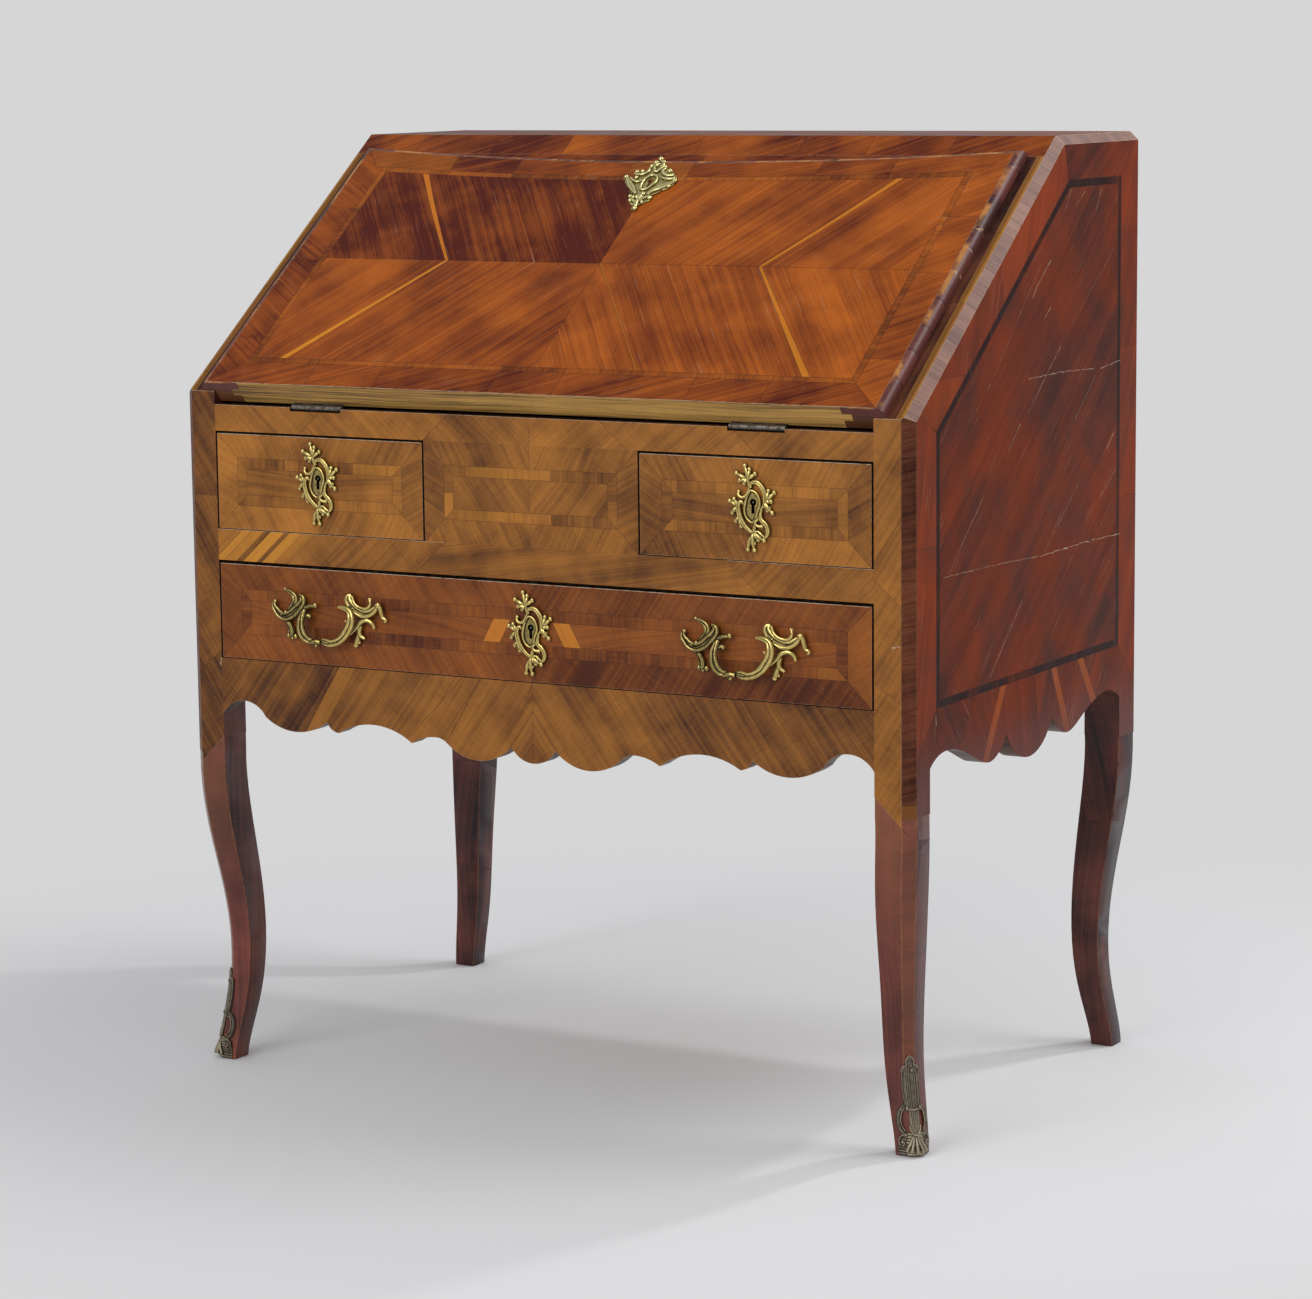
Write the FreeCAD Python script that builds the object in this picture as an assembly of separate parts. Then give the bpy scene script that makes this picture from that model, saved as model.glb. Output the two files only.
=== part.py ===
import FreeCAD, Part
import math
import os

V = FreeCAD.Vector

# Overall sizes of the desk, in millimetres.
width = 850.0
depth = 548.0
height = 984.0
slant_rise = 257.5
slant_share = 0.6432
pull_reach = 18.0

# Boards and posts.
post = 40.0
side_board = 20.0
top_board_thick = 20.0
back_board = 12.0
shelf_board = 8.0
panel_board = 14.0
bed_board = 16.0
rail_deep = 60.0
front_board = 20.0
corner_chamfer = 11.0
edge_bevel = 9.0
divider_board = 18.0
tongue_thick = 8.0
tongue_deep = 8.0
tongue_inset = 6.0

# Heights of the front, and the sizes of its parts across.
top_rail_height = 27.67
long_drawer_height = 104.5
mid_rail_height = 33.0
small_drawer_height = 103.5
centre_panel_half = 125.5

# Fall: a lipped board, part of its thickness set between the posts.
fall_inset = 14.0
fall_proud = 12.0
lip_gap = 0.3
lip_over = 13.0
fall_side_gap = 1.0
fall_edge_sag = 21.0
head_rail_edge = 34.0
head_rail_thick = 24.0
cleat_width = 46.0
cleat_tongue = 10.0
ovolo = 8.0

# Hinges.
hinge_share = 0.67
hinge_long = 62.0
knuckle_radius = 3.3
pin_radius = 1.5
pin_play = 0.05
leaf_thick = 2.0
leaf_reach = 26.0
barrel_room = 0.6
heel_gap = 0.3
pin_behind_front = 4.8
screw_radius = 1.5
screw_head = 3.2
screw_head_deep = 1.7
screw_long = 10.7
screw_step = 20.0
screw_row = 16.0
screw_mid_row = 20.0

# Drawers.
drawer_gap = 1.2
drawer_side = 10.0
drawer_bottom = 6.0
small_drawer_room = 96.0
long_drawer_room = 56.0
drawer_rise = 2.0
drawer_drop = 6.0
drawer_set_in = 1.0
bottom_rise = 5.0
lock_half_wide = 28.0
lock_thick = 9.0
lock_below_key = 22.0
lock_from_top = 8.0
small_key_rise = 58.0
long_key_rise = 56.0
pull_share = 0.6364
pull_rise = 50.0

# Gradin inside.
gradin_share = 0.6788
gradin_niche = 112.0
gradin_drawer_height = 62.0

# Well under the sliding cover.
well_front = 100.0
well_long = 190.0
well_half = 95.0
cover_ledge = 12.0
cover_thick = 7.4
channel_deep = 8.0
cover_front_play = 3.0
cover_back_lap = 5.0
cover_stop = 68.0
finger_radius = 11.0
finger_deep = 3.6
finger_set_in = 26.0

# Derived places.
half = width / 2.0
slant_height = height - slant_rise
y_front = -depth / 2.0 + pull_reach / 2.0
y_back = y_front + depth
inner = half - post
lining_out = half - side_board
y_panel = y_back - back_board
y_post_back = y_back - post
board_under = height - top_board_thick
angle = math.atan2(slant_rise, slant_share * depth)
slant_angle = math.degrees(angle)
slope_cos = math.cos(angle)
slope_sin = math.sin(angle)
slope_long = (height - slant_height) / slope_sin
slope = FreeCAD.Placement(V(0, y_front, slant_height), FreeCAD.Rotation(V(1, 0, 0), slant_angle))

# The pin line lies in the fall's inner face, so the open fall is level with the bed.
pin_s = (pin_behind_front - fall_inset * slope_sin) / slope_cos
pin_y = y_front + pin_behind_front
bed_top = slant_height + pin_s * slope_sin - fall_inset * slope_cos
top_rail_low = bed_top - top_rail_height
mid_rail_top = top_rail_low - small_drawer_height
mid_rail_low = mid_rail_top - mid_rail_height
apron_top = mid_rail_low - long_drawer_height
fall_low = pin_s + pin_behind_front + heel_gap
lip_half = inner + lip_over
fall_half = inner - fall_side_gap
lip_top_side = slope_long - head_rail_edge
lip_top_mid = lip_top_side - fall_edge_sag
edge_radius = (lip_half ** 2 + fall_edge_sag ** 2) / (2.0 * fall_edge_sag)

made = {}


def box(x0, x1, y0, y1, z0, z1):
    return Part.makeBox(x1 - x0, y1 - y0, z1 - z0, V(x0, y0, z0))


def mirrored(shape):
    return shape.mirror(V(0, 0, 0), V(1, 0, 0))


def prism(points, push):
    wire = Part.makePolygon(points + [points[0]])
    return Part.Face(wire).extrude(push)


def on_slope(shape):
    placed = shape.copy()
    placed.Placement = slope.multiply(placed.Placement)
    return placed


def keep(name, shape):
    made[name] = shape


def below_slope(shape):
    cutter = on_slope(box(-width, width, -height, 2.0 * height, 0.0, height))
    return shape.cut(cutter)


def slope_bevel():
    over = edge_bevel / 9.0
    points = [V(half - edge_bevel - over, -depth, over), V(half + over, -depth, over)]
    points.append(V(half + over, -depth, -edge_bevel - over))
    return on_slope(prism(points, V(0, slope_long + 2.0 * depth, 0)))


# Legs run up as corner posts. Each row holds the height as a share of the height under the drawers, and the
# inset across, the inset in depth and the thickness as shares of the post.
leg_shares = [
    (0.0, 0.075, 0.5, 0.625),
    (0.0495, 0.125, 0.5375, 0.65),
    (0.135, 0.275, 0.6375, 0.7),
    (0.2365, 0.375, 0.7, 0.75),
    (0.3266, 0.3625, 0.6625, 0.8),
    (0.428, 0.275, 0.5, 0.875),
    (0.5405, 0.1375, 0.2375, 0.9625),
    (0.6532, 0.025, 0.05, 1.0),
    (0.7658, 0.0, 0.0, 1.0),
]
leg_form = [(z * apron_top, x * post, y * post, t * post) for z, x, y, t in leg_shares]
sabot_thick = 2.6
sabot_deep = 4.0
sabot_trim = 3.0


def leg_section(row, chamfer):
    z, in_x, in_y, thick = row
    x1 = half - in_x
    x0 = x1 - thick
    y0 = y_front + in_y
    y1 = y0 + thick
    cut = chamfer * thick / post
    points = [V(x0, y0, z), V(x1 - cut, y0, z), V(x1, y0 + cut, z), V(x1, y1, z), V(x0, y1, z)]
    return Part.makePolygon(points + [points[0]])


def front_leg():
    foot = Part.makeLoft([leg_section(row, corner_chamfer) for row in leg_form], True, False)
    last = leg_section(leg_form[-1], corner_chamfer)
    stile = Part.Face(last).extrude(V(0, 0, height - leg_form[-1][0]))
    stile = below_slope(stile).cut(slope_bevel())
    return foot.fuse(stile).removeSplitter()


def rear_leg():
    sections = []
    for z, in_x, in_y, thick in leg_form:
        x1 = half - in_x
        y1 = y_back - in_y
        points = [V(x1 - thick, y1 - thick, z), V(x1, y1 - thick, z), V(x1, y1, z), V(x1 - thick, y1, z)]
        sections.append(Part.makePolygon(points + [points[0]]))
    foot = Part.makeLoft(sections, True, False)
    stile = box(inner, half, y_post_back, y_back, leg_form[-1][0], board_under)
    return foot.fuse(stile).removeSplitter()


def sabot(leg):
    thick = sabot_thick
    sections = []
    for row, wrap in zip(leg_form[:4], (1.0, 0.92, 0.62, 0.34)):
        z, in_x, in_y, size = row
        cut = corner_chamfer * size / post
        reach = cut + (size - cut) * 0.75 * wrap
        x1 = half - in_x
        y0 = y_front + in_y
        deep = sabot_deep
        points = [V(x1 - reach, y0 + deep, z), V(x1 - reach, y0 - thick, z)]
        points.append(V(x1 - cut + 0.4 * thick, y0 - thick, z))
        points.append(V(x1 + thick, y0 + cut - 0.4 * thick, z))
        points.append(V(x1 + thick, y0 + reach, z))
        points.append(V(x1 - deep, y0 + reach, z))
        points.append(V(x1 - cut - deep, y0 + cut + deep, z))
        sections.append(Part.makePolygon(points + [points[0]]))
    shoe = Part.makeLoft(sections, True, True)
    trim = box(0, width, -depth, depth, sabot_trim, leg_form[3][0] - 2.0 * sabot_trim)
    pieces = shoe.cut(leg).common(trim).Solids
    return max(pieces, key=lambda solid: solid.Volume)


right_leg = front_leg()
back_leg = rear_leg()

# Sides: outer boards with a shaped lower edge, tongued into the posts. Each row holds a share of the way from
# the middle to the post, and the drop below the drawers.
side_edge = [
    (1.0, 60.0),
    (0.906, 49.5),
    (0.752, 50.0),
    (0.547, 67.0),
    (0.406, 76.0),
    (0.299, 67.0),
    (0.239, 54.0),
]
side_lobe_drop = 86.0


def curve(points):
    spline = Part.BSplineCurve()
    spline.interpolate(points)
    return spline.toShape()


def side_outline(x):
    y_mid = (y_front + y_back) / 2.0
    reach = y_post_back - y_mid
    rear = [V(x, y_mid + share * reach, apron_top - drop) for share, drop in side_edge]
    fore = [V(x, 2.0 * y_mid - p.y, p.z) for p in reversed(rear)]
    lobe = Part.Arc(rear[-1], V(x, y_mid, apron_top - side_lobe_drop), fore[0]).toShape()
    fore_top = V(x, y_front + post, board_under)
    up = Part.makePolygon([fore[-1], fore_top, V(x, y_post_back, board_under), rear[0]])
    wire = Part.Wire(curve(rear).Edges + lobe.Edges + curve(fore).Edges + up.Edges)
    return Part.Face(wire)


tongue_x0 = lining_out + tongue_inset
tongue_x1 = tongue_x0 + tongue_thick
tongue_low = apron_top + tongue_inset
tongue_front = box(tongue_x0, tongue_x1, y_front + post - tongue_deep, y_front + post, tongue_low,
                   top_rail_low + 2.0 * tongue_deep)
tongue_rear = box(tongue_x0, tongue_x1, y_post_back, y_post_back + tongue_deep, tongue_low,
                  board_under - 3.0 * tongue_deep)
right_side = side_outline(lining_out).extrude(V(side_board, 0, 0))
right_side = below_slope(right_side).cut(slope_bevel())
right_side = right_side.fuse([tongue_front, tongue_rear]).removeSplitter()
right_leg = right_leg.cut(tongue_front)
back_leg = back_leg.cut(tongue_rear)
right_sabot = sabot(right_leg)

# Lining boards fill the sides to the posts' inner faces and guide the drawers.
lining = box(inner, lining_out, y_front + post, y_post_back, apron_top - panel_board, board_under)
lining = below_slope(lining)
keep("right_side", right_side)
keep("left_side", mirrored(right_side))
keep("right_lining", lining)
keep("left_lining", mirrored(lining))
keep("right_front_leg", right_leg)
keep("left_front_leg", mirrored(right_leg))
keep("right_rear_leg", back_leg)
keep("left_rear_leg", mirrored(back_leg))
keep("right_sabot", right_sabot)
keep("left_sabot", mirrored(right_sabot))

# Top, back, bottom and the horizontal boards.
top = below_slope(box(-half, half, y_front, y_back, board_under, height))
bevel = prism(
    [V(half - edge_bevel, -depth, height), V(half, -depth, height), V(half, -depth, height - edge_bevel)],
    V(0, 2.0 * depth, 0),
)
top = top.cut([bevel, mirrored(bevel), slope_bevel(), mirrored(slope_bevel())])
keep("top_board", top)
keep("back_panel", box(-inner, inner, y_panel, y_back, apron_top - panel_board, board_under))
keep("case_bottom", box(-inner, inner, y_front + front_board, y_panel, apron_top - panel_board, apron_top))
keep("dust_board", box(-inner, inner, y_front + rail_deep, y_panel, mid_rail_top - panel_board, mid_rail_top))
keep("front_mid_rail", box(-inner, inner, y_front, y_front + rail_deep, mid_rail_low, mid_rail_top))
keep("centre_panel", box(-centre_panel_half, centre_panel_half, y_front, y_front + front_board, mid_rail_top,
                         top_rail_low))
divider_out = centre_panel_half
divider_in = centre_panel_half - divider_board
divider = box(divider_in, divider_out, y_front + front_board, y_panel, mid_rail_top, top_rail_low)
divider = divider.fuse(box(divider_in, divider_out, y_front + rail_deep, y_panel, top_rail_low,
                           bed_top - bed_board)).removeSplitter()
keep("right_divider", divider)
keep("left_divider", mirrored(divider))

# Apron: one half of its lower edge, from the centre lobe out to the post, as arcs through three points. Each
# point holds a share of the way to the post and the drop below the drawers.
apron_edge = [
    ((0.0, 83.0), (0.0416, 78.5), (0.0675, 68.0)),
    ((0.0675, 68.0), (0.1584, 85.0), (0.2701, 70.0)),
    ((0.2701, 70.0), (0.2883, 66.0), (0.3065, 65.0)),
    ((0.3065, 65.0), (0.3481, 67.5), (0.3818, 73.5)),
    ((0.3818, 73.5), (0.4831, 58.5), (0.6182, 70.0)),
    ((0.6182, 70.0), (0.6416, 66.5), (0.6545, 59.5)),
    ((0.6545, 59.5), (0.7558, 73.0), (0.8571, 60.0)),
    ((0.8571, 60.0), (0.9299, 44.5), (1.0, 60.0)),
]


def apron():
    edges = []
    for row in apron_edge:
        start, middle, end = [V(share * inner, y_front, apron_top - drop) for share, drop in row]
        edges.append(Part.Arc(start, middle, end).toShape())
    flip = [mirrored(edge) for edge in edges]
    end_low = apron_top - apron_edge[-1][2][1]
    up = Part.makePolygon([V(inner, y_front, end_low), V(inner, y_front, apron_top),
                           V(-inner, y_front, apron_top), V(-inner, y_front, end_low)])
    wire = Part.Wire(Part.__sortEdges__(edges + flip + up.Edges))
    return Part.Face(wire).extrude(V(0, front_board, 0))


keep("front_apron", apron())


# Shapes in the plane of the fall: x across, s up the slope, h out from the case.
def fall_curve(s_mid, reach, radius):
    drop = radius - math.sqrt(radius ** 2 - reach ** 2)
    return [V(-reach, s_mid + drop, 0), V(0, s_mid, 0), V(reach, s_mid + drop, 0)]


def fall_plate(reach, s_low, s_mid, radius, h0, h1):
    left, mid, right = fall_curve(s_mid, reach, radius)
    arc = Part.Arc(left, mid, right).toShape()
    rest = Part.makePolygon([right, V(reach, s_low, 0), V(-reach, s_low, 0), left])
    plate = Part.Face(Part.Wire(arc.Edges + rest.Edges)).extrude(V(0, 0, h1 - h0))
    plate.translate(V(0, 0, h0))
    return plate


lip = fall_plate(lip_half, fall_low, lip_top_mid, edge_radius, lip_gap, fall_proud)
round_edges = []
for edge in lip.Edges:
    mid = edge.valueAt((edge.FirstParameter + edge.LastParameter) / 2.0)
    upper = edge.BoundBox.ZMin > fall_proud - 0.01
    if upper and mid.y > fall_low + 1.0:
        round_edges.append(edge)
lip = lip.makeFillet(ovolo, round_edges)
core_top = lip_top_mid - lip_over
core = fall_plate(fall_half, fall_low, core_top, edge_radius + lip_over, -fall_inset, lip_gap)
fall = lip.fuse(core).removeSplitter()

seam = lip_half - cleat_width
tongue_right = box(seam, seam + cleat_tongue, fall_low, lip_top_mid, -5.0, 3.0)
cleat_zone = box(seam, lip_half + 1.0, fall_low - 1.0, slope_long + 50.0, -40.0, 40.0).cut(tongue_right)
right_cleat = fall.common(cleat_zone)
left_cleat = mirrored(right_cleat)
panel = fall.cut([cleat_zone, mirrored(cleat_zone)])

# Leather let into the fall's inner face.
leather_deep = 1.5
leather_margin = 27.0
leather_low = 45.0
leather_high = 62.0
leather_half = seam - leather_margin
leather = box(-leather_half, leather_half, fall_low + leather_low, core_top - leather_high, -fall_inset,
              -fall_inset + leather_deep)
panel = panel.cut(leather)

# Fall lock, its bolt and the mortise in the head rail.
lock_half = 30.0
lock_low = core_top - 46.0
bolt_half = 10.0
bolt_throw = 9.0
play = 0.3
lock = box(-lock_half, lock_half, lock_low, core_top, -fall_inset, -1.0)
bolt_h0 = -10.0
bolt_h1 = -4.0
bolt_top = core_top - 1.0
bolt = box(-bolt_half, bolt_half, core_top - 26.0, bolt_top, bolt_h0, bolt_h1)
bolt_room = box(-bolt_half - play, bolt_half + play, core_top - 26.0 - play, core_top + 1.0, bolt_h0 - play,
                bolt_h1 + play)
panel = panel.cut(box(-lock_half, lock_half, lock_low, core_top + 2.0, -fall_inset, -1.0))
lock = lock.cut(bolt_room)
key_s = core_top - 32.0


def keyhole(h0, h1):
    bow = Part.makeCylinder(2.6, h1 - h0, V(0, 0, h0))
    slot = box(-1.4, 1.4, -9.0, 0.0, h0, h1)
    return bow.fuse(slot).removeSplitter()


fall_key = keyhole(-8.0, 30.0)
fall_key.translate(V(0, key_s, 0))
panel = panel.cut(fall_key)
lock = lock.cut(fall_key)

head_low = core_top + 1.5
head_radius = edge_radius + lip_over - 1.5
head = fall_plate(inner, slope_long + 60.0, head_low, head_radius, -head_rail_thick, 0.0)
bolt_mortise = box(-bolt_half - 1.0, bolt_half + 1.0, core_top, core_top + 14.0, bolt_h0 - 1.0, bolt_h1 + 1.0)
head = on_slope(head.cut(bolt_mortise)).common(box(-inner, inner, y_front, y_back, 0.0, board_under))
keep("head_rail", head)

# Mounts on the fall: a cartouche escutcheon.
fall_shield = [(0, -42), (9, -36), (12, -26), (22, -24), (27, -12), (26, 6), (30, 18), (20, 34), (8, 40),
               (-4, 46), (-16, 40), (-27, 36), (-33, 20), (-27, 6), (-29, -10), (-22, -24), (-12, -26),
               (-8, -36)]
shield = [(0, -46), (9, -39), (13, -26), (20, -14), (25, 4), (21, 18), (12, 26), (4, 34), (-8, 36), (-19, 30),
          (-25, 16), (-26, -2), (-20, -13), (-15, -26), (-9, -39)]
mount_thick = 2.5


def cartouche(points):
    spline = Part.BSplineCurve()
    spline.interpolate([V(x, y, 0) for x, y in points], PeriodicFlag=True)
    plate = Part.Face(Part.Wire(spline.toShape())).extrude(V(0, 0, mount_thick))
    return plate.cut(keyhole(-1.0, mount_thick + 1.0))


fall_plate_mount = cartouche(fall_shield)
fall_plate_mount.translate(V(0, key_s, fall_proud))
keep("fall_escutcheon", on_slope(fall_plate_mount))

# Hinges: five knuckles on a pin, leaves let in flush to the rail and the fall.
knuckle_long = hinge_long / 5.0
hinge_x = hinge_share * inner


def tube(x0, x1, radius):
    return Part.makeCylinder(radius, x1 - x0, V(x0, 0, 0), V(1, 0, 0))


def hinge_leaf(odd, bore):
    solid = box(-hinge_long / 2.0, hinge_long / 2.0, knuckle_radius + 0.4, leaf_reach, -leaf_thick, 0.0)
    for n in range(5):
        if (n % 2 == 0) != odd:
            continue
        x0 = -hinge_long / 2.0 + n * knuckle_long + 0.1
        x1 = x0 + knuckle_long - 0.2
        stub = box(x0, x1, 0.0, knuckle_radius + 0.4, -leaf_thick, 0.0)
        solid = solid.fuse([tube(x0, x1, knuckle_radius), stub])
    return solid.cut(tube(-hinge_long, hinge_long, bore)).removeSplitter()


def hinge_screws():
    screws = []
    for x in (-screw_step, 0.0, screw_step):
        y = screw_row if x else screw_mid_row
        head = Part.makeCone(screw_radius, screw_head, screw_head_deep, V(x, y, -screw_head_deep))
        shank = Part.makeCylinder(screw_radius, screw_long - screw_head_deep, V(x, y, -screw_long))
        screws.append(head.fuse(shank).removeSplitter())
    return screws


pin_place = V(0, pin_y, bed_top)
case_leaves = []
fall_leaves = []
pins = []
case_screws = []
fall_screws = []
leaf_rooms = []
rail_rooms = []
for x in (-hinge_x, hinge_x):
    screws = hinge_screws()
    case_leaf = hinge_leaf(True, pin_radius).cut(screws)
    case_leaf.translate(pin_place + V(x, 0, 0))
    case_leaves.append(case_leaf)
    flip = FreeCAD.Placement(V(x, pin_s, -fall_inset), FreeCAD.Rotation(V(0, 1, 0), 180))
    fall_leaf = hinge_leaf(False, pin_radius + pin_play).cut(screws)
    fall_leaf.Placement = flip
    fall_leaves.append(fall_leaf)
    room = box(x - hinge_long / 2.0, x + hinge_long / 2.0, fall_low - 1.0, pin_s + leaf_reach, -fall_inset,
               -fall_inset + leaf_thick)
    leaf_rooms.append(room)
    room = box(x - hinge_long / 2.0, x + hinge_long / 2.0, pin_y, pin_y + leaf_reach, bed_top - leaf_thick,
               bed_top + 1.0)
    side = hinge_long / 2.0 + barrel_room
    notch_low = bed_top - knuckle_radius - barrel_room
    notch = box(x - side, x + side, y_front - 1.0, pin_y, notch_low, bed_top + 1.0)
    barrel = tube(x - side, x + side, knuckle_radius + barrel_room)
    barrel.translate(pin_place)
    rail_rooms += [room, notch, barrel]
    pin = tube(x - hinge_long / 2.0, x + hinge_long / 2.0, pin_radius)
    pin.translate(pin_place)
    pins.append(pin)
    for screw in screws:
        placed = screw.copy()
        placed.translate(pin_place + V(x, 0, 0))
        case_screws.append(placed)
        placed = screw.copy()
        placed.Placement = flip.multiply(placed.Placement)
        fall_screws.append(placed)

keep("hinge_case_leaves", Part.makeCompound(case_leaves))
keep("hinge_fall_leaves", on_slope(Part.makeCompound(fall_leaves)))
keep("hinge_pins", Part.makeCompound(pins))
keep("hinge_case_screws", Part.makeCompound(case_screws))
keep("hinge_fall_screws", on_slope(Part.makeCompound(fall_screws)))

panel = panel.cut(leaf_rooms).cut(fall_screws)
keep("fall_panel", on_slope(panel))
keep("fall_right_cleat", on_slope(right_cleat))
keep("fall_left_cleat", on_slope(left_cleat))
keep("fall_leather", on_slope(leather))
keep("fall_lock", on_slope(lock))
keep("fall_bolt", on_slope(bolt))

top_rail = box(-inner, inner, y_front, y_front + rail_deep, top_rail_low, bed_top)
keep("front_top_rail", top_rail.cut(rail_rooms).cut(case_screws))

# Writing bed with a channel for the well's sliding cover.
cover_half = well_half + cover_ledge
well_y0 = y_front + well_front
well_y1 = well_y0 + well_long
cover_y0 = well_y0 - cover_front_play
cover_y1 = well_y1 + cover_back_lap
channel_y1 = y_panel - cover_stop + cover_front_play
bed = box(-inner, inner, y_front + rail_deep, y_panel, bed_top - bed_board, bed_top)
channel = box(-cover_half, cover_half, cover_y0, channel_y1, bed_top - channel_deep, bed_top + 1.0)
hole = box(-well_half, well_half, well_y0, well_y1, 0.0, bed_top)
keep("writing_bed", bed.cut([channel, hole]))
cover_low = bed_top - channel_deep
cover = box(-cover_half + 0.5, cover_half - 0.5, cover_y0 + 0.5, cover_y1, cover_low, cover_low + cover_thick)
finger_place = V(0, cover_y0 + finger_set_in, cover_low + cover_thick - finger_deep)
finger = Part.makeCylinder(finger_radius, channel_deep, finger_place)
keep("well_cover", cover.cut(finger))


# Drawers: front, a three-sided tray, a bottom board, a lock and an escutcheon.
def drawer(name, x0, x1, z0, z1, deep, key_x, key_z):
    y0 = y_front
    y1 = y0 + front_board
    key = keyhole(-front_board - 6.0, 1.0)
    key.rotate(V(0, 0, 0), V(1, 0, 0), 90)
    key.translate(V(key_x, y0, key_z))
    front = box(x0, x1, y0, y1, z0, z1).cut(key)
    low = z0 + drawer_rise
    high = z1 - drawer_drop
    outer = box(x0 + drawer_set_in, x1 - drawer_set_in, y1, y0 + deep, low, high)
    wall = drawer_set_in + drawer_side
    hollow = box(x0 + wall, x1 - wall, y1 - 1.0, y0 + deep - drawer_side, 0.0, height)
    groove = drawer_set_in + drawer_side / 2.0
    board = box(x0 + groove, x1 - groove, y1, y0 + deep - drawer_side / 2.0, low + bottom_rise,
                low + bottom_rise + drawer_bottom)
    keep(name + "_front", front)
    keep(name + "_tray", outer.cut(hollow).cut(board))
    keep(name + "_bottom", board)
    lock_box = box(key_x - lock_half_wide, key_x + lock_half_wide, y1, y1 + lock_thick,
                   key_z - lock_below_key, z1 - lock_from_top)
    keep(name + "_lock", lock_box.cut(key))
    plate = cartouche(shield)
    plate.rotate(V(0, 0, 0), V(1, 0, 0), 90)
    plate.translate(V(key_x, y0, key_z))
    keep(name + "_escutcheon", plate)


small_low = mid_rail_top + drawer_gap / 2.0
small_high = top_rail_low - drawer_gap
small_key = (centre_panel_half + inner) / 2.0
small_drawer_deep = depth - back_board - small_drawer_room
long_drawer_deep = depth - back_board - long_drawer_room
drawer("right_drawer", centre_panel_half + drawer_gap, inner - drawer_gap, small_low, small_high,
       small_drawer_deep, small_key, small_low + small_key_rise)
drawer("left_drawer", -inner + drawer_gap, -centre_panel_half - drawer_gap, small_low, small_high,
       small_drawer_deep, -small_key, small_low + small_key_rise)
long_low = apron_top + drawer_gap / 2.0
long_high = mid_rail_low - drawer_gap
drawer("long_drawer", -inner + drawer_gap, inner - drawer_gap, long_low, long_high, long_drawer_deep, 0.0,
       long_low + long_key_rise)

# Fixed scrolling pulls: one casting each, held by two posts.
pull_x = pull_share * inner
pull_z = long_low + pull_rise
pull_line = [(-73, 14), (-58, 27), (-43, 15), (-37, -8), (-18, -28), (6, -24), (27, 0), (32, 20), (48, 25),
             (73, 4)]
pull_stand = [(-52, 20), (46, 22)]
pull_tube = 4.4


def pull(x):
    y = y_front - pull_reach + pull_tube
    points = [V(x + a, y, pull_z + b) for a, b in pull_line]
    path = Part.Wire(curve(points))
    start = points[0]
    ring = Part.Wire(Part.Circle(start, points[1] - start, pull_tube).toShape())
    solid = path.makePipe(Part.Face(ring))
    parts = []
    for a, b in pull_stand:
        parts.append(Part.makeCylinder(4.0, y_front - y, V(x + a, y, pull_z + b), V(0, 1, 0)))
        parts.append(Part.makeCylinder(9.0, 2.5, V(x + a, y_front - 2.5, pull_z + b), V(0, 1, 0)))
    return solid.fuse(parts).removeSplitter()


keep("right_pull", pull(pull_x))
keep("left_pull", pull(-pull_x))

# Gradin: drawers below, pigeonholes above, an open niche in the middle.
g0 = y_front + gradin_share * depth
shelf_low = bed_top + gradin_drawer_height
upright = box(gradin_niche, gradin_niche + shelf_board, g0, y_panel, bed_top, board_under)
shelf = box(gradin_niche + shelf_board, inner, g0, y_panel, shelf_low, shelf_low + shelf_board)
keep("gradin_shelves", Part.makeCompound([shelf, mirrored(shelf)]))
bay_mid = (gradin_niche + shelf_board + inner) / 2.0
bay_low = shelf_low + shelf_board
partition = box(bay_mid - shelf_board / 2.0, bay_mid + shelf_board / 2.0, g0, y_panel, bay_low, board_under)
keep("gradin_dividers", Part.makeCompound([upright, mirrored(upright), partition, mirrored(partition)]))
gx0 = gradin_niche + shelf_board + 0.6
gx1 = inner - 0.6
g_deep = y_panel - g0 - 6.0
gz0 = bed_top + 0.4
gz1 = shelf_low - 0.6
tray = box(gx0, gx1, g0 + 10.0, g0 + g_deep, gz0, gz1 - 4.0)
tray = tray.cut(box(gx0 + 6.0, gx1 - 6.0, g0, g0 + g_deep - 6.0, gz0 + 5.0, gz1 + 20.0))
small_front = box(gx0, gx1, g0, g0 + 10.0, gz0, gz1)
knob_line = [(0.0, 0.0), (5.0, 0.0), (3.0, 3.0), (3.5, 7.0), (7.0, 10.0), (6.0, 14.0), (0.0, 15.5)]
knob = Part.Face(Part.makePolygon([V(r, -h, 0) for r, h in knob_line] + [V(0, 0, 0)]))
knob = knob.revolve(V(0, 0, 0), V(0, 1, 0), 360)
knob.translate(V((gx0 + gx1) / 2.0, g0, (gz0 + gz1) / 2.0))
keep("right_gradin_tray", tray)
keep("left_gradin_tray", mirrored(tray))
keep("right_gradin_front", small_front)
keep("left_gradin_front", mirrored(small_front))
keep("right_gradin_knob", knob)
keep("left_gradin_knob", mirrored(knob))

os.makedirs("parts", exist_ok=True)
for name, shape in made.items():
    shape.exportStep("parts/" + name + ".step")
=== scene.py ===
"""Dresses the slant-front desk: veneers, worn edges, legs, gilt mounts, floor, light and camera."""

import logging
import math
import random
from dataclasses import dataclass, field
from enum import Enum
from functools import cache
from typing import Callable, Iterable, Sequence

import bmesh
import bpy
from mathutils import Matrix, Vector


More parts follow.
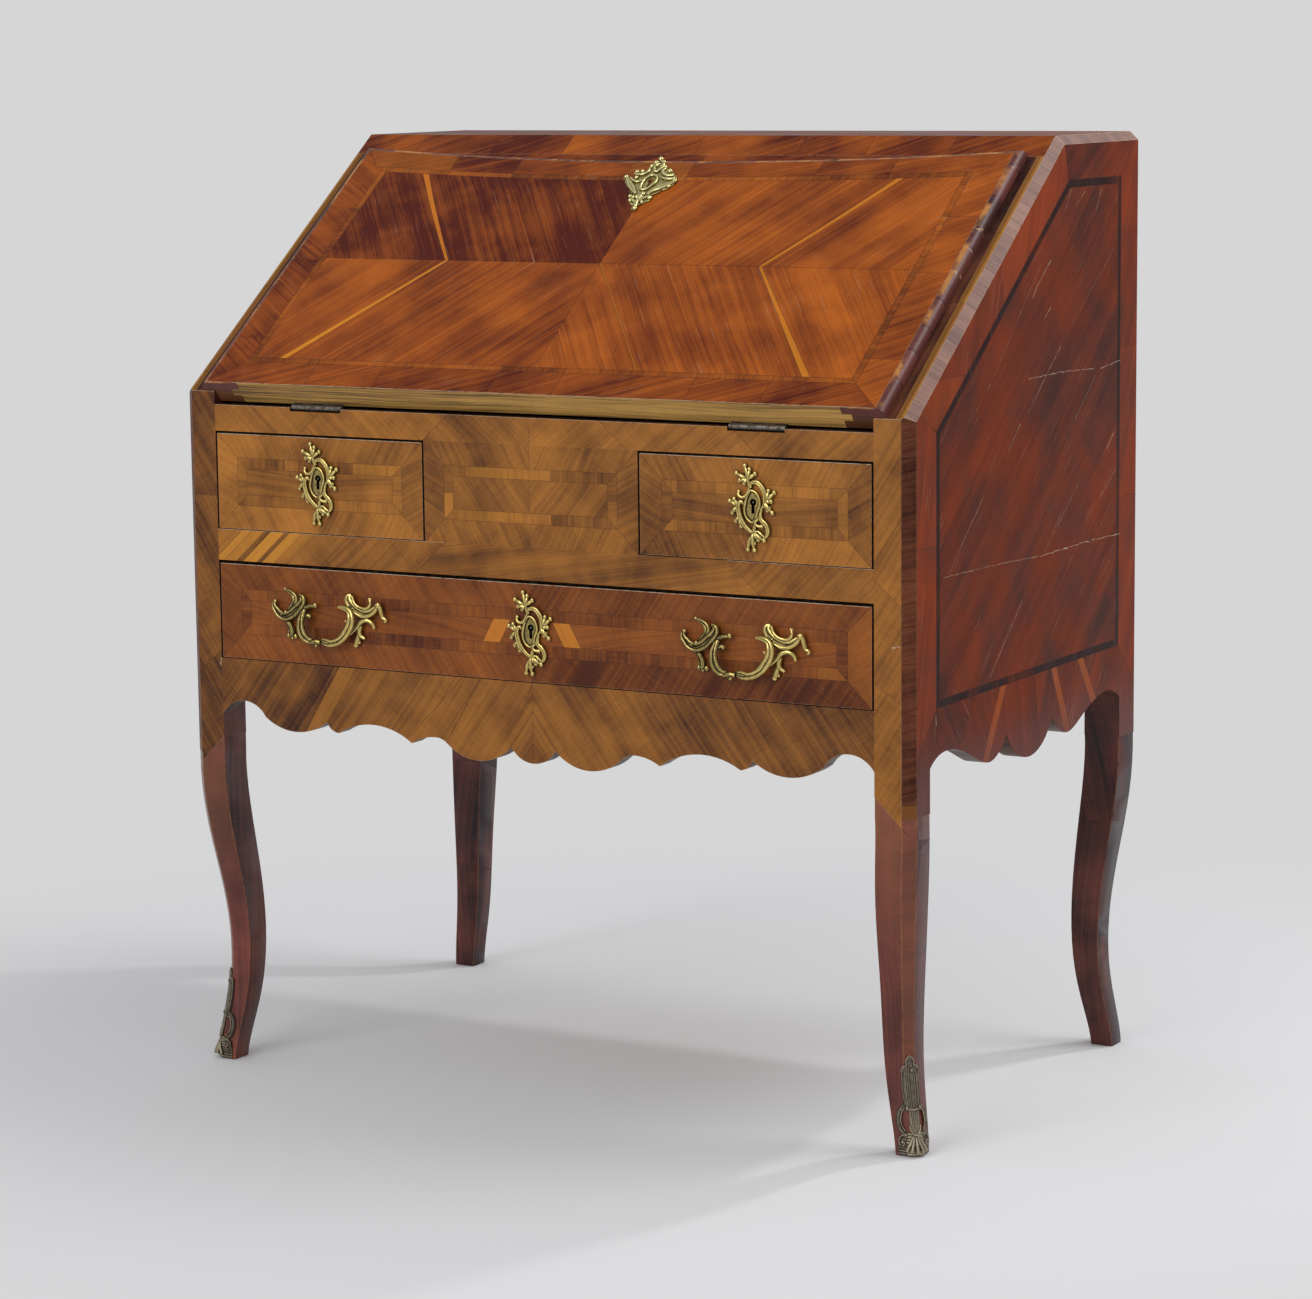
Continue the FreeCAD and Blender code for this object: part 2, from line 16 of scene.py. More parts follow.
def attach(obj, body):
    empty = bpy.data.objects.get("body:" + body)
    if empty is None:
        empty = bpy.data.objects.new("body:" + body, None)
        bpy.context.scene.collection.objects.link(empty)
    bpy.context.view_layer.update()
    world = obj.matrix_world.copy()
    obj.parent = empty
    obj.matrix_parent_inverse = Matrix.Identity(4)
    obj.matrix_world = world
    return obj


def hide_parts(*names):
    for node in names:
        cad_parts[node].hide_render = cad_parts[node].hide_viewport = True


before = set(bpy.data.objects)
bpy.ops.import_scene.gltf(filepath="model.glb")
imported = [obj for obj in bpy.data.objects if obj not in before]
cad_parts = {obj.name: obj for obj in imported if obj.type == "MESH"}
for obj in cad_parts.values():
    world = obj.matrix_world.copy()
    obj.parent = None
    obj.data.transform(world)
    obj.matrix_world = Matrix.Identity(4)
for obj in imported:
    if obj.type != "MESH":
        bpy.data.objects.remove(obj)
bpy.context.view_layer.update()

LOG = logging.getLogger("desk")
MM = 0.001
SLOPE = math.radians(36.15)
HALF_WIDTH, FRONT_Y, REAR_Y, TOP_Z = 425.0, -265.0, 283.0, 984.0
SLOPE_Z, BEVEL_X, CHAMFER_X = 726.5, 416.0, 414.0
LEG_JOINT_Z, LEG_JOINT_LEAN = 331.0, 1.24
CHAMFER_FOOT = 0.339
KEYHOLE_RADIUS, KEYHOLE_SLOT, KEYHOLE_DROP = 2.6, 1.3, 8.0
SAME_POINT, IN_PLANE, FACES_OUT, LID_MERGE, KNIFE = 0.00001, 0.0001, 0.9995, 0.0005, 0.000002

Point = tuple[float, float]
Spot = tuple[float, float, float]
Colour = tuple[float, float, float, float]
Cut = tuple[Point, Point]
Outline = tuple[Point, ...]
Piece = bpy.types.Object
Material = bpy.types.Material
Socket = bpy.types.NodeSocket


def srgb(red: int, green: int, blue: int) -> Colour:
    """Turn a colour as a screen shows it into the linear one that shaders use.

    Args:
        red, green, blue: parts from 0 to 255.
    Returns:
        The linear colour with full alpha.
    """
    def part(value: int) -> float:
        """Straighten one part."""
        share = value / 255.0
        return share / 12.92 if share <= 0.04045 else ((share + 0.055) / 1.055) ** 2.4

    return part(red), part(green), part(blue), 1.0


# Workbench: selection and modifiers


def hold(*objects: Piece) -> None:
    """Select only these objects and make the first one active.

    Args:
        objects: what the next operator acts on.
    """
    if bpy.context.object and bpy.context.object.mode != "OBJECT":
        bpy.ops.object.mode_set(mode="OBJECT")
    bpy.ops.object.select_all(action="DESELECT")
    for obj in objects:
        obj.select_set(True)
    bpy.context.view_layer.objects.active = objects[0]


def edit(obj: Piece, mode: str = "FACE") -> bmesh.types.BMesh:
    """Open an object in edit mode with everything selected.

    Args:
        obj: the object to open.
        mode: VERT, EDGE or FACE.
    Returns:
        Its edit mesh.
    """
    hold(obj)
    bpy.ops.object.mode_set(mode="EDIT")
    bpy.ops.mesh.select_mode(type=mode)
    bpy.ops.mesh.select_all(action="SELECT")
    return bmesh.from_edit_mesh(obj.data)


def close_edit() -> None:
    """Go back to object mode."""
    bpy.ops.object.mode_set(mode="OBJECT")


def finish_with(obj: Piece, kind: str, **values: object) -> None:
    """Add a modifier, set it and apply it.

    Args:
        obj: the object that gets it.
        kind: the modifier's type.
        values: its settings.
    """
    hold(obj)
    modifier = obj.modifiers.new(kind.lower(), kind)
    for key, value in values.items():
        setattr(modifier, key, value)
    bpy.ops.object.modifier_apply(modifier=modifier.name)


def settle(obj: Piece) -> None:
    """Put an object's place, turn and scale into its mesh."""
    hold(obj)
    bpy.ops.object.transform_apply(location=True, rotation=True, scale=True)


def add_object(name: str, data: bpy.types.ID) -> Piece:
    """Put new data into the scene.

    Args:
        name: the object's name.
        data: its mesh, curve, lamp or camera.
    Returns:
        The object.
    """
    obj = bpy.data.objects.new(name, data)
    bpy.context.scene.collection.objects.link(obj)
    return obj


def merge(name: str, pieces: list[Piece]) -> Piece:
    """Join pieces into one.

    Args:
        name: the name that it gets.
        pieces: what is joined.
    Returns:
        The one piece.
    """
    hold(*pieces)
    if len(pieces) > 1:
        bpy.ops.object.join()
    obj = bpy.context.object
    obj.name = obj.data.name = name
    return obj


def place_on(obj: Piece, body: str, slot: str, *nodes: str) -> None:
    """Let a piece ride on a body and hide the nodes that it stands for.

    Args:
        obj: the piece.
        body: the body's name.
        slot: not used.
        nodes: CAD nodes that it replaces.
    """
    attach(obj, body)
    if nodes:
        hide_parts(*nodes)
    LOG.info("piece %s on %s: %d faces", obj.name, body, len(obj.data.polygons))


# Shaders


class Hand:
    """Lays shader nodes in one tree."""

    def __init__(self, tree: bpy.types.NodeTree) -> None:
        """Take the tree to work in."""
        self.tree = tree

    def add(self, kind: str, **values: object) -> bpy.types.Node:
        """Add a node and set its sockets or settings by name.

        Args:
            kind: the node's type without the ShaderNode prefix.
            values: sockets to link or set, or settings.
        Returns:
            The node.
        """
        node = self.tree.nodes.new("ShaderNode" + kind)
        later = {}
        for key, value in values.items():
            if hasattr(node, key):
                setattr(node, key, value)
            else:
                later[key.replace("_", " ")] = value
        for key, value in later.items():
            self.feed(node.inputs[key], value)
        return node

    def feed(self, socket: Socket, value: object) -> None:
        """Link a socket to another, or set its own value.

        Args:
            socket: the socket.
            value: another socket or a value.
        """
        if isinstance(value, Socket):
            self.tree.links.new(value, socket)
        else:
            socket.default_value = value

    def math(self, work: str, one: object, two: object = 0.0) -> Socket:
        """Add a math node and return its value.

        Args:
            work: its operation.
            one, two: what it is fed.
        Returns:
            Its value.
        """
        node = self.tree.nodes.new("ShaderNodeMath")
        node.operation = work
        self.feed(node.inputs[0], one)
        self.feed(node.inputs[1], two)
        return node.outputs[0]

    def span(self, value: object, low: float, high: float, to_low: float = 0.0, to_high: float = 1.0) -> Socket:
        """Spread a value between two limits, clamped.

        Args:
            value: the value to spread.
            low, high: limits that it comes from.
            to_low, to_high: limits that it goes to.
        Returns:
            The spread value.
        """
        node = self.add("MapRange", interpolation_type="SMOOTHSTEP")
        for socket, part in zip(node.inputs, (value, low, high, to_low, to_high)):
            self.feed(socket, part)
        return node.outputs[0]

    def mix(self, share: object, one: object, two: object) -> Socket:
        """Mix two colours and return the result.

        Args:
            share: how much of the second.
            one, two: the colours.
        Returns:
            The mixed colour.
        """
        node = self.tree.nodes.new("ShaderNodeMix")
        node.data_type = "RGBA"
        for index, part in ((0, share), (6, one), (7, two)):
            self.feed(node.inputs[index], part)
        return node.outputs[2]

    def noise(self, vector: object, scale: float, detail: float = 2.0, rough: float = 0.5) -> Socket:
        """Add a noise texture and return its value."""
        node = self.add("TexNoise", Vector=vector, Scale=scale, Detail=detail, Roughness=rough)
        return node.outputs["Fac"]

    def stretch(self, along: object, across: object, low: float, high: float) -> Socket:
        """Scale two coordinates apart and join them as a vector.

        Args:
            along, across: the coordinates.
            low, high: their scales.
        Returns:
            The vector.
        """
        node = self.add("CombineXYZ")
        self.feed(node.inputs[0], self.math("MULTIPLY", along, low))
        self.feed(node.inputs[1], self.math("MULTIPLY", across, high))
        return node.outputs[0]

    def blend(self, share: Socket, *shaders: Socket) -> Socket:
        """Mix two shaders and return the result.

        Args:
            share: how much of the second.
            shaders: the two shaders.
        Returns:
            The mixed shader.
        """
        node = self.add("MixShader")
        for socket, part in zip(node.inputs, (share, *shaders)):
            self.feed(socket, part)
        return node.outputs[0]

    def cover(self, shader: bpy.types.Node, colour: Socket, rough: Socket, height: Socket, strength: float,
            depth: float) -> None:
        """Feed a shader its colour, roughness and relief.

        Args:
            shader: the Principled shader.
            colour, rough, height: what it is fed.
            strength, depth: how much of the relief shows and how deep it is, in metres.
        """
        bump = self.add("Bump", Strength=strength, Distance=depth, Height=height)
        for name, value in (("Base Color", colour), ("Roughness", rough), ("Normal", bump.outputs[0])):
            self.feed(shader.inputs[name], value)


def new_group(name: str, inputs: dict[str, str], outputs: dict[str, str]) -> tuple[Hand, dict, bpy.types.Node]:
    """Start a shader node group.

    Args:
        name: the group's name.
        inputs, outputs: socket names with their kinds, Float, Color or Vector.
    Returns:
        The hand in its tree, the input sockets by name and the output node.
    """
    tree = bpy.data.node_groups.new(name, "ShaderNodeTree")
    for way, sockets in (("INPUT", inputs), ("OUTPUT", outputs)):
        for label, kind in sockets.items():
            tree.interface.new_socket(name=label, in_out=way, socket_type="NodeSocket" + kind)
    start = tree.nodes.new("NodeGroupInput")
    end = tree.nodes.new("NodeGroupOutput")
    return Hand(tree), {socket.name: socket for socket in start.outputs}, end


def grain_group() -> bpy.types.NodeTree:
    """Build the figure of wood: broad bands, streaks, fine lines, pores, ripple and clouds.

    Returns:
        The group, fed with coordinates whose X runs along the grain, in metres.
    """
    names = ("Band", "Streak", "Line", "Pore", "Ripple", "Cloud")
    hand, given, end = new_group("wood grain", {"Grain": "Vector", "Place": "Vector"},
        dict.fromkeys(names, "Float"))
    parts = hand.add("SeparateXYZ", Vector=given["Grain"])
    along, across = parts.outputs[0], parts.outputs[1]
    sway = hand.noise(given["Grain"], 5.0, 2.0)
    across = hand.math("ADD", across, hand.math("MULTIPLY", hand.math("SUBTRACT", sway, 0.5), 0.014))
    band = hand.noise(hand.stretch(along, across, 1.6, 34.0), 1.0, 1.0)
    streak = hand.noise(hand.stretch(along, across, 3.0, 190.0), 1.0, 2.0, 0.65)
    line = hand.noise(hand.stretch(along, across, 7.0, 640.0), 1.0, 2.0, 0.6)
    pore = hand.noise(hand.stretch(along, across, 80.0, 1700.0), 1.0, 1.0)
    ripple = hand.noise(hand.stretch(along, across, 330.0, 34.0), 1.0, 2.0)
    cloud = hand.noise(given["Place"], 13.0, 3.0, 0.55)
    values = (hand.span(band, 0.25, 0.75), hand.span(streak, 0.25, 0.75), hand.span(line, 0.25, 0.75),
        hand.span(pore, 0.6, 0.72), hand.span(ripple, 0.25, 0.75), hand.span(cloud, 0.25, 0.75))
    for socket, value in zip(end.inputs, values):
        hand.feed(socket, value)
    return hand.tree


def wear_group() -> bpy.types.NodeTree:
    """Build wear: fine scratches along the grain and specks of dust and old polish.

    Returns:
        The group, whose outputs are masks.
    """
    hand, given, end = new_group("old wear", {"Grain": "Vector", "Place": "Vector"},
        {"Scratch": "Float", "Speck": "Float"})
    parts = hand.add("SeparateXYZ", Vector=given["Grain"])
    fine = hand.noise(hand.stretch(parts.outputs[0], parts.outputs[1], 15.0, 1100.0), 1.0, 0.0)
    patch = hand.noise(given["Place"], 8.0, 2.0)
    scratch = hand.math("MULTIPLY", hand.span(fine, 0.79, 0.8), hand.span(patch, 0.44, 0.56))
    speck = hand.span(hand.noise(given["Place"], 420.0, 1.0), 0.74, 0.8)
    for socket, value in zip(end.inputs, (scratch, speck)):
        hand.feed(socket, value)
    return hand.tree


def patina_and_painted_light_group() -> bpy.types.NodeTree:
    """Build the patina of a casting, with painted light and shade: dark in the hollows, from patina and painted
    shade, and light where it is rubbed and where painted light falls on faces turned outwards.

    Returns:
        The group, which reads the casting's own relief attribute.
    """
    hand, given, end = new_group("casting patina and painted light", {"Place": "Vector"}, {"Rubbed and painted light": "Float", "Mottle": "Float"})
    relief = hand.add("Attribute", attribute_name="relief").outputs["Fac"]
    mottle = hand.noise(given["Place"], 260.0, 3.0, 0.6)
    lift = hand.math("ADD", relief, hand.math("MULTIPLY", hand.math("SUBTRACT", mottle, 0.5), 0.5))
    for socket, value in zip(end.inputs, (hand.span(lift, 0.15, 0.85), mottle)):
        hand.feed(socket, value)
    return hand.tree


class Groups:
    """The shader groups that finishes share, each built once."""

    made: dict[str, bpy.types.NodeTree] = {}

    @classmethod
    def get(cls, maker: Callable[[], bpy.types.NodeTree]) -> bpy.types.NodeTree:
        """Return the maker's group, building it the first time.

        Args:
            maker: the function that builds it.
        Returns:
            The group.
        """
        if maker.__name__ not in cls.made:
            cls.made[maker.__name__] = maker()
        return cls.made[maker.__name__]


def start_material(name: str) -> tuple[Material, Hand, bpy.types.Node]:
    """Start a material.

    Args:
        name: its name.
    Returns:
        The material, a hand in its tree and its Principled shader.
    """
    material = bpy.data.materials.new(name)
    material.use_nodes = True
    return material, Hand(material.node_tree), material.node_tree.nodes["Principled BSDF"]


@dataclass(frozen=True)
class VeneerFinish:
    """Polished veneer whose leaves carry their own grain map and colours."""

    name: str
    dark: Colour
    light: Colour
    sap: Colour
    joint: Colour = srgb(40, 20, 14)
    worn: Colour = srgb(178, 162, 140)
    band: float = 0.35
    streak: float = 0.4
    line: float = 0.2
    ripple: float = 0.1
    cloud: float = 0.5
    depth: float = 1.2
    scratches: float = 0.3
    rough: float = 0.38
    coat: float = 0.03
    gloss: float = 0.2
    seam: float = 0.55
    # Painted sheen: a mauve grey that the colour turns to low on the side, where the legs shine.
    foot: Colour | None = None

    @cache
    def material(self) -> Material:
        """Build the material.

        Returns:
            Veneer that reads the grain map and the leaf attribute.
        """
        material, hand, shader = start_material(self.name)
        grain = hand.add("UVMap", uv_map="grain").outputs[0]
        place = hand.add("TexCoord").outputs["Object"]
        leaf = hand.add("Attribute", attribute_name="leaf")
        parts = hand.add("SeparateColor", Color=leaf.outputs["Color"])
        tone, sap, joint = parts.outputs[0], parts.outputs[1], parts.outputs[2]
        edge = leaf.outputs["Alpha"]
        wood = hand.add("Group", node_tree=Groups.get(grain_group))
        wear = hand.add("Group", node_tree=Groups.get(wear_group))
        for node in (wood, wear):
            hand.feed(node.inputs["Grain"], grain)
            hand.feed(node.inputs["Place"], place)
        band, streak, line, pore, ripple, cloud = wood.outputs
        shares = ((band, self.band), (streak, self.streak), (line, self.line), (ripple, self.ripple),
            (cloud, self.cloud), (tone, self.depth))
        start = 0.5 - sum(share for _, share in shares) / 2.0
        mark = hand.math("MULTIPLY_ADD", band, self.band)
        mark.node.inputs[2].default_value = start
        for value, share in shares[1:]:
            more = hand.math("MULTIPLY_ADD", value, share)
            hand.feed(more.node.inputs[2], mark)
            mark = more
        colour = hand.mix(hand.math("MINIMUM", hand.math("MAXIMUM", mark, 0.0), 1.0), self.dark, self.light)
        yellow = hand.mix(hand.math("MULTIPLY", streak, 0.6), self.sap, self.light)
        colour = hand.mix(hand.math("MULTIPLY", sap, 0.9), colour, yellow)
        # Painted sheen: low on the side the colour turns to the foot colour, a mauve grey for the sheen of the
        # legs below; the coat weight there is real gloss.
        if self.foot:
            height = hand.add("SeparateXYZ", Vector=place).outputs[2]
            low = hand.span(height, 0.43, 0.335, 0.0, 0.8)
            colour = hand.mix(low, colour, self.foot)
            hand.feed(shader.inputs["Coat Weight"], hand.math("MULTIPLY", low, 0.2))
        colour = hand.mix(hand.math("MULTIPLY", pore, 0.28), colour, self.joint)
        colour = hand.mix(hand.math("MULTIPLY", joint, self.seam), colour, self.joint)
        colour = hand.mix(hand.math("MULTIPLY", wear.outputs[0], self.scratches), colour, self.worn)
        colour = hand.mix(hand.math("MULTIPLY", wear.outputs[1], 0.2), colour, self.worn)
        rub = hand.math("MULTIPLY", edge, hand.span(hand.noise(place, 150.0, 4.0), 0.25, 0.6))
        colour = hand.mix(rub, colour, self.worn)
        rough = hand.span(cloud, 0.0, 1.0, self.rough - 0.06, self.rough + 0.08)
        shader.inputs["Specular IOR Level"].default_value = self.gloss
        shader.inputs["Coat Weight"].default_value = self.coat
        shader.inputs["Coat Roughness"].default_value = 0.25
        dent = hand.math("SUBTRACT", line, hand.math("ADD", pore, hand.math("MULTIPLY", joint, 2.0)))
        hand.cover(shader, colour, rough, dent, 0.22, 0.0002)
        return material


class Run(Enum):
    """The way in which the grain of a plain board runs."""

    WIDTH = 0
    DEPTH = 1
    HEIGHT = 2


@dataclass(frozen=True)
class BoardFinish:
    """Plain wood on CAD boards, its grain along one of the desk's axes."""

    name: str
    dark: Colour
    light: Colour
    run: Run = Run.WIDTH
    rough: float = 0.55
    streak: float = 0.4
    line: float = 0.3

    @cache
    def material(self) -> Material:
        """Build the material.

        Returns:
            Wood on object coordinates.
        """
        material, hand, shader = start_material(self.name)
        place = hand.add("TexCoord").outputs["Object"]
        turn = {Run.WIDTH: (0.7, 0.0, 0.0), Run.DEPTH: (0.0, 0.7, -math.pi / 2),
            Run.HEIGHT: (math.pi / 2, 0.6, math.pi / 2)}
        mapped = hand.add("Mapping", Vector=place, Rotation=turn[self.run])
        wood = hand.add("Group", node_tree=Groups.get(grain_group), Grain=mapped.outputs[0], Place=place)
        band, streak, line, pore, _, cloud = wood.outputs
        mark = hand.math("ADD", hand.math("MULTIPLY", band, 0.35), hand.math("MULTIPLY", streak, self.streak))
        mark = hand.math("ADD", mark, hand.math("MULTIPLY", line, self.line))
        mark = hand.math("ADD", mark, hand.math("MULTIPLY", cloud, 0.15))
        colour = hand.mix(hand.span(mark, 0.1, 1.1), self.dark, self.light)
        colour = hand.mix(hand.math("MULTIPLY", pore, 0.35), colour, self.dark)
        rough = hand.span(cloud, 0.0, 1.0, self.rough - 0.08, self.rough + 0.1)
        hand.cover(shader, colour, rough, hand.math("SUBTRACT", line, pore), 0.2, 0.0003)
        return material


@dataclass(frozen=True)
class MouldingFinish:
    """Short cross-grain pieces along the fall's moulding, chipped at some joints, and plain wood behind it."""

    name: str
    dark: Colour
    light: Colour
    chip: Colour
    run: Run = Run.DEPTH
    pieces: float = 24.0
    rubbed: Colour = srgb(170, 112, 52)
    plain_dark: Colour = srgb(50, 28, 18)
    plain_light: Colour = srgb(108, 66, 38)

    @cache
    def material(self) -> Material:
        """Build the material.

        Returns:
            Wood on object coordinates, its pieces laid up the slope or along the width.
        """
        material, hand, shader = start_material(self.name)
        place = hand.add("TexCoord").outputs["Object"]
        parts = hand.add("SeparateXYZ", Vector=place)
        up = hand.math("MULTIPLY_ADD", parts.outputs[2], math.sin(SLOPE))
        hand.feed(up.node.inputs[2], hand.math("MULTIPLY", parts.outputs[1], math.cos(SLOPE)))
        along = parts.outputs[0] if self.run == Run.WIDTH else up
        cells = hand.add("TexVoronoi", voronoi_dimensions="1D", W=along, Scale=self.pieces)
        joints = hand.add("TexVoronoi", voronoi_dimensions="1D", feature="DISTANCE_TO_EDGE", W=along,
            Scale=self.pieces)
        gap = joints.outputs["Distance"]
        tone = hand.add("SeparateColor", Color=cells.outputs["Color"]).outputs[0]
        fine = hand.noise(hand.stretch(along, parts.outputs[0], 900.0, 60.0), 1.0, 2.0)
        mark = hand.math("ADD", hand.math("MULTIPLY", tone, 0.6), hand.math("MULTIPLY", fine, 0.5))
        colour = hand.mix(hand.span(mark, 0.1, 0.9), self.dark, self.light)
        chips = hand.math("MULTIPLY", hand.span(hand.noise(place, 160.0, 3.0), 0.5, 0.6),
            hand.span(gap, 0.1, 0.02))
        chips = hand.math("MULTIPLY", chips, hand.span(hand.noise(place, 16.0, 1.0), 0.5, 0.6))
        colour = hand.mix(chips, colour, self.chip)
        colour = hand.mix(hand.span(gap, 0.03, 0.012, 0.0, 0.5), colour, self.dark)
        depth = hand.math("SUBTRACT", hand.math("MULTIPLY", parts.outputs[2], math.cos(SLOPE)),
            hand.math("MULTIPLY", parts.outputs[1], math.sin(SLOPE)))
        base = SLANT.normal().dot(Vector(SLANT.origin)) * MM
        outer = hand.span(depth, base - 0.0006, base)
        rubbed = hand.math("MULTIPLY", hand.span(depth, base + 0.0098, base + 0.0112),
            hand.span(hand.noise(place, 30.0, 3.0, 0.6), 0.44, 0.62))
        colour = hand.mix(rubbed, colour, self.rubbed)
        figure = hand.noise(hand.stretch(parts.outputs[0], up, 5.0, 240.0), 1.0, 3.0, 0.6)
        colour = hand.mix(outer, hand.mix(hand.span(figure, 0.25, 0.75), self.plain_dark, self.plain_light),
            colour)
        shader.inputs["Specular IOR Level"].default_value = 0.3
        dent = hand.math("MULTIPLY", hand.span(gap, 0.0, 0.08), outer)
        hand.cover(shader, colour, hand.span(fine, 0.0, 1.0, 0.28, 0.44), dent, 0.4, 0.0005)
        return material


@dataclass(frozen=True)
class CastFinish:
    """Cast bronze with patina and painted shade in its hollows, and painted light on its outward faces."""

    name: str
    hollow: Colour
    rubbed: Colour
    rough: float = 0.34

    @cache
    def material(self) -> Material:
        """Build the material.

        Returns:
            Metal that reads the relief attribute.
        """
        material, hand, shader = start_material(self.name)
        place = hand.add("TexCoord").outputs["Object"]
        patina = hand.add("Group", node_tree=Groups.get(patina_and_painted_light_group), Place=place)
        rubbed, mottle = patina.outputs
        hand.feed(shader.inputs["Metallic"], hand.span(rubbed, 0.0, 1.0, 0.75, 1.0))
        rough = hand.span(rubbed, 0.0, 1.0, self.rough + 0.22, self.rough)
        hand.cover(shader, hand.mix(rubbed, self.hollow, self.rubbed), rough, mottle, 0.3, 0.0003)
        return material


@dataclass(frozen=True)
class IronFinish:
    """Dulled iron and steel with brown rust spots."""

    name: str
    bare: Colour
    rust: Colour
    rough: float = 0.45

    @cache
    def material(self) -> Material:
        """Build the material.

        Returns:
            Metal with rust by noise.
        """
        material, hand, shader = start_material(self.name)
        place = hand.add("TexCoord").outputs["Object"]
        spots = hand.span(hand.noise(place, 180.0, 4.0, 0.6), 0.45, 0.7)
        hand.feed(shader.inputs["Metallic"], hand.span(spots, 0.0, 1.0, 1.0, 0.45))
        rough = hand.span(spots, 0.0, 1.0, self.rough, self.rough + 0.3)
        hand.cover(shader, hand.mix(spots, self.bare, self.rust), rough, spots, 0.25, 0.0003)
        return material


@dataclass(frozen=True)
class LeatherFinish:
    """Worn writing leather with a gilt line near its edge."""

    name: str
    hide: Colour
    faded: Colour
    gilt: Colour
    half: float
    low: float
    high: float

    @cache
    def material(self) -> Material:
        """Build the material.

        Returns:
            Leather on object coordinates, with a tooled line.
        """
        material, hand, shader = start_material(self.name)
        place = hand.add("TexCoord").outputs["Object"]
        parts = hand.add("SeparateXYZ", Vector=place)
        up = hand.math("DIVIDE", hand.math("SUBTRACT", parts.outputs[2], SLOPE_Z * MM), math.sin(SLOPE))
        side = hand.math("SUBTRACT", self.half, hand.math("ABSOLUTE", parts.outputs[0]))
        near = hand.math("MINIMUM", side, hand.math("SUBTRACT", up, self.low))
        near = hand.math("MINIMUM", near, hand.math("SUBTRACT", self.high, up))
        line = hand.math("COMPARE", near, 0.012)
        line.node.inputs[2].default_value = 0.0011
        fade = hand.span(hand.noise(place, 9.0, 4.0, 0.6), 0.35, 0.7)
        pebble = hand.add("TexVoronoi", Vector=place, Scale=620.0).outputs["Distance"]
        colour = hand.mix(fade, self.hide, self.faded)
        colour = hand.mix(hand.math("MULTIPLY", line, 0.8), colour, self.gilt)
        hand.cover(shader, colour, hand.span(fade, 0.0, 1.0, 0.6, 0.68), pebble, 0.35, 0.0004)
        return material


Finish = BoardFinish | MouldingFinish | IronFinish | LeatherFinish

# Veneer sheets


@dataclass(frozen=True)
class Plane:
    """A flat face of the desk with its own two axes, in millimetres."""

    origin: Spot
    across: Spot
    up: Spot
    turned: bool = False

    def normal(self) -> Vector:
        """Return the direction that points out of the desk."""
        out = Vector(self.across).cross(Vector(self.up))
        return -out if self.turned else out

    def local(self, place: Vector) -> Point:
        """Return a place's two coordinates in the plane, in millimetres."""
        away = place - Vector(self.origin) * MM
        return away.dot(Vector(self.across)) / MM, away.dot(Vector(self.up)) / MM

    def world(self, x: float, y: float, lift: float = 0.0) -> Vector:
        """Return the place of a point of the plane, lifted off it."""
        flat = Vector(self.origin) + Vector(self.across) * x + Vector(self.up) * y
        return (flat + self.normal() * lift) * MM

    @staticmethod
    def facing(out: Vector, origin: Iterable[float], up: Spot) -> "Plane":
        """Return the plane through a point that faces a direction."""
        return Plane(tuple(origin), tuple(out.normalized().cross(Vector(up)) * -1.0), up)

    def matrix(self) -> Matrix:
        """Return the plane's axes as a matrix, in metres."""
        turn = Matrix((self.across, self.up, tuple(self.normal()))).transposed().to_4x4()
        return Matrix.Translation(Vector(self.origin) * MM) @ turn


RIGHTWARDS, BACKWARDS, UPWARDS = (1.0, 0.0, 0.0), (0.0, 1.0, 0.0), (0.0, 0.0, 1.0)
FRONT = Plane((0.0, FRONT_Y, 0.0), RIGHTWARDS, UPWARDS)
RIGHT = Plane((HALF_WIDTH, 0.0, 0.0), BACKWARDS, UPWARDS)
LEFT = Plane((-HALF_WIDTH, 0.0, 0.0), BACKWARDS, UPWARDS, turned=True)
TOP = Plane((0.0, 0.0, TOP_Z), RIGHTWARDS, BACKWARDS)
SLANT = Plane((0.0, FRONT_Y, SLOPE_Z), RIGHTWARDS, (0.0, math.cos(SLOPE), math.sin(SLOPE)))
LID = Plane(tuple(Vector(SLANT.origin) + SLANT.normal() * 12.0), SLANT.across, SLANT.up)
CUP_EDGE = Plane(tuple(SLANT.world(0.0, 0.816) / MM), RIGHTWARDS, tuple(SLANT.normal()))


@dataclass(frozen=True)
class Leaf:
    """One leaf of veneer: the run of its grain, its tone and how it is matched."""

    angle: float
    tone: float = 0.5
    sap: float = 0.0
    seed: int = 0
    fold_x: float | None = None
    fold_y: float | None = None
    wear: float = 0.0

    def grain(self, x: float, y: float) -> Point:
        """Return the grain coordinates of a point, in metres along and across.

        Args:
            x, y: the point in its sheet, in millimetres.
        Returns:
            The coordinates for the grain map.
        """
        if self.fold_x is not None:
            x = abs(x - self.fold_x)
        if self.fold_y is not None:
            y = abs(y - self.fold_y)
        turn = math.radians(self.angle)
        along = x * math.cos(turn) + y * math.sin(turn)
        over = y * math.cos(turn) - x * math.sin(turn)
        shift = random.Random(self.seed)
        return along * MM + shift.uniform(0.0, 5.0), over * MM + shift.uniform(0.0, 5.0)


def leaf_layers(mesh: bpy.types.Mesh) -> tuple[bpy.types.MeshUVLoopLayer, bpy.types.Attribute]:
    """Give a mesh the grain map and the leaf attribute in place of older maps.

    Args:
        mesh: the mesh of a veneered piece.
    Returns:
        The map and the attribute, empty.
    """
    for old in list(mesh.uv_layers):
        mesh.uv_layers.remove(old)
    mesh.uv_layers.new(name="grain")
    mesh.attributes.new("leaf", "FLOAT_COLOR", "CORNER")
    return mesh.uv_layers["grain"], mesh.attributes["leaf"]


def pick(seed: int, low: float, high: float) -> float:
    """Return a steady random number for a seed, between two limits."""
    return random.Random(seed * 7919 + 13).uniform(low, high)


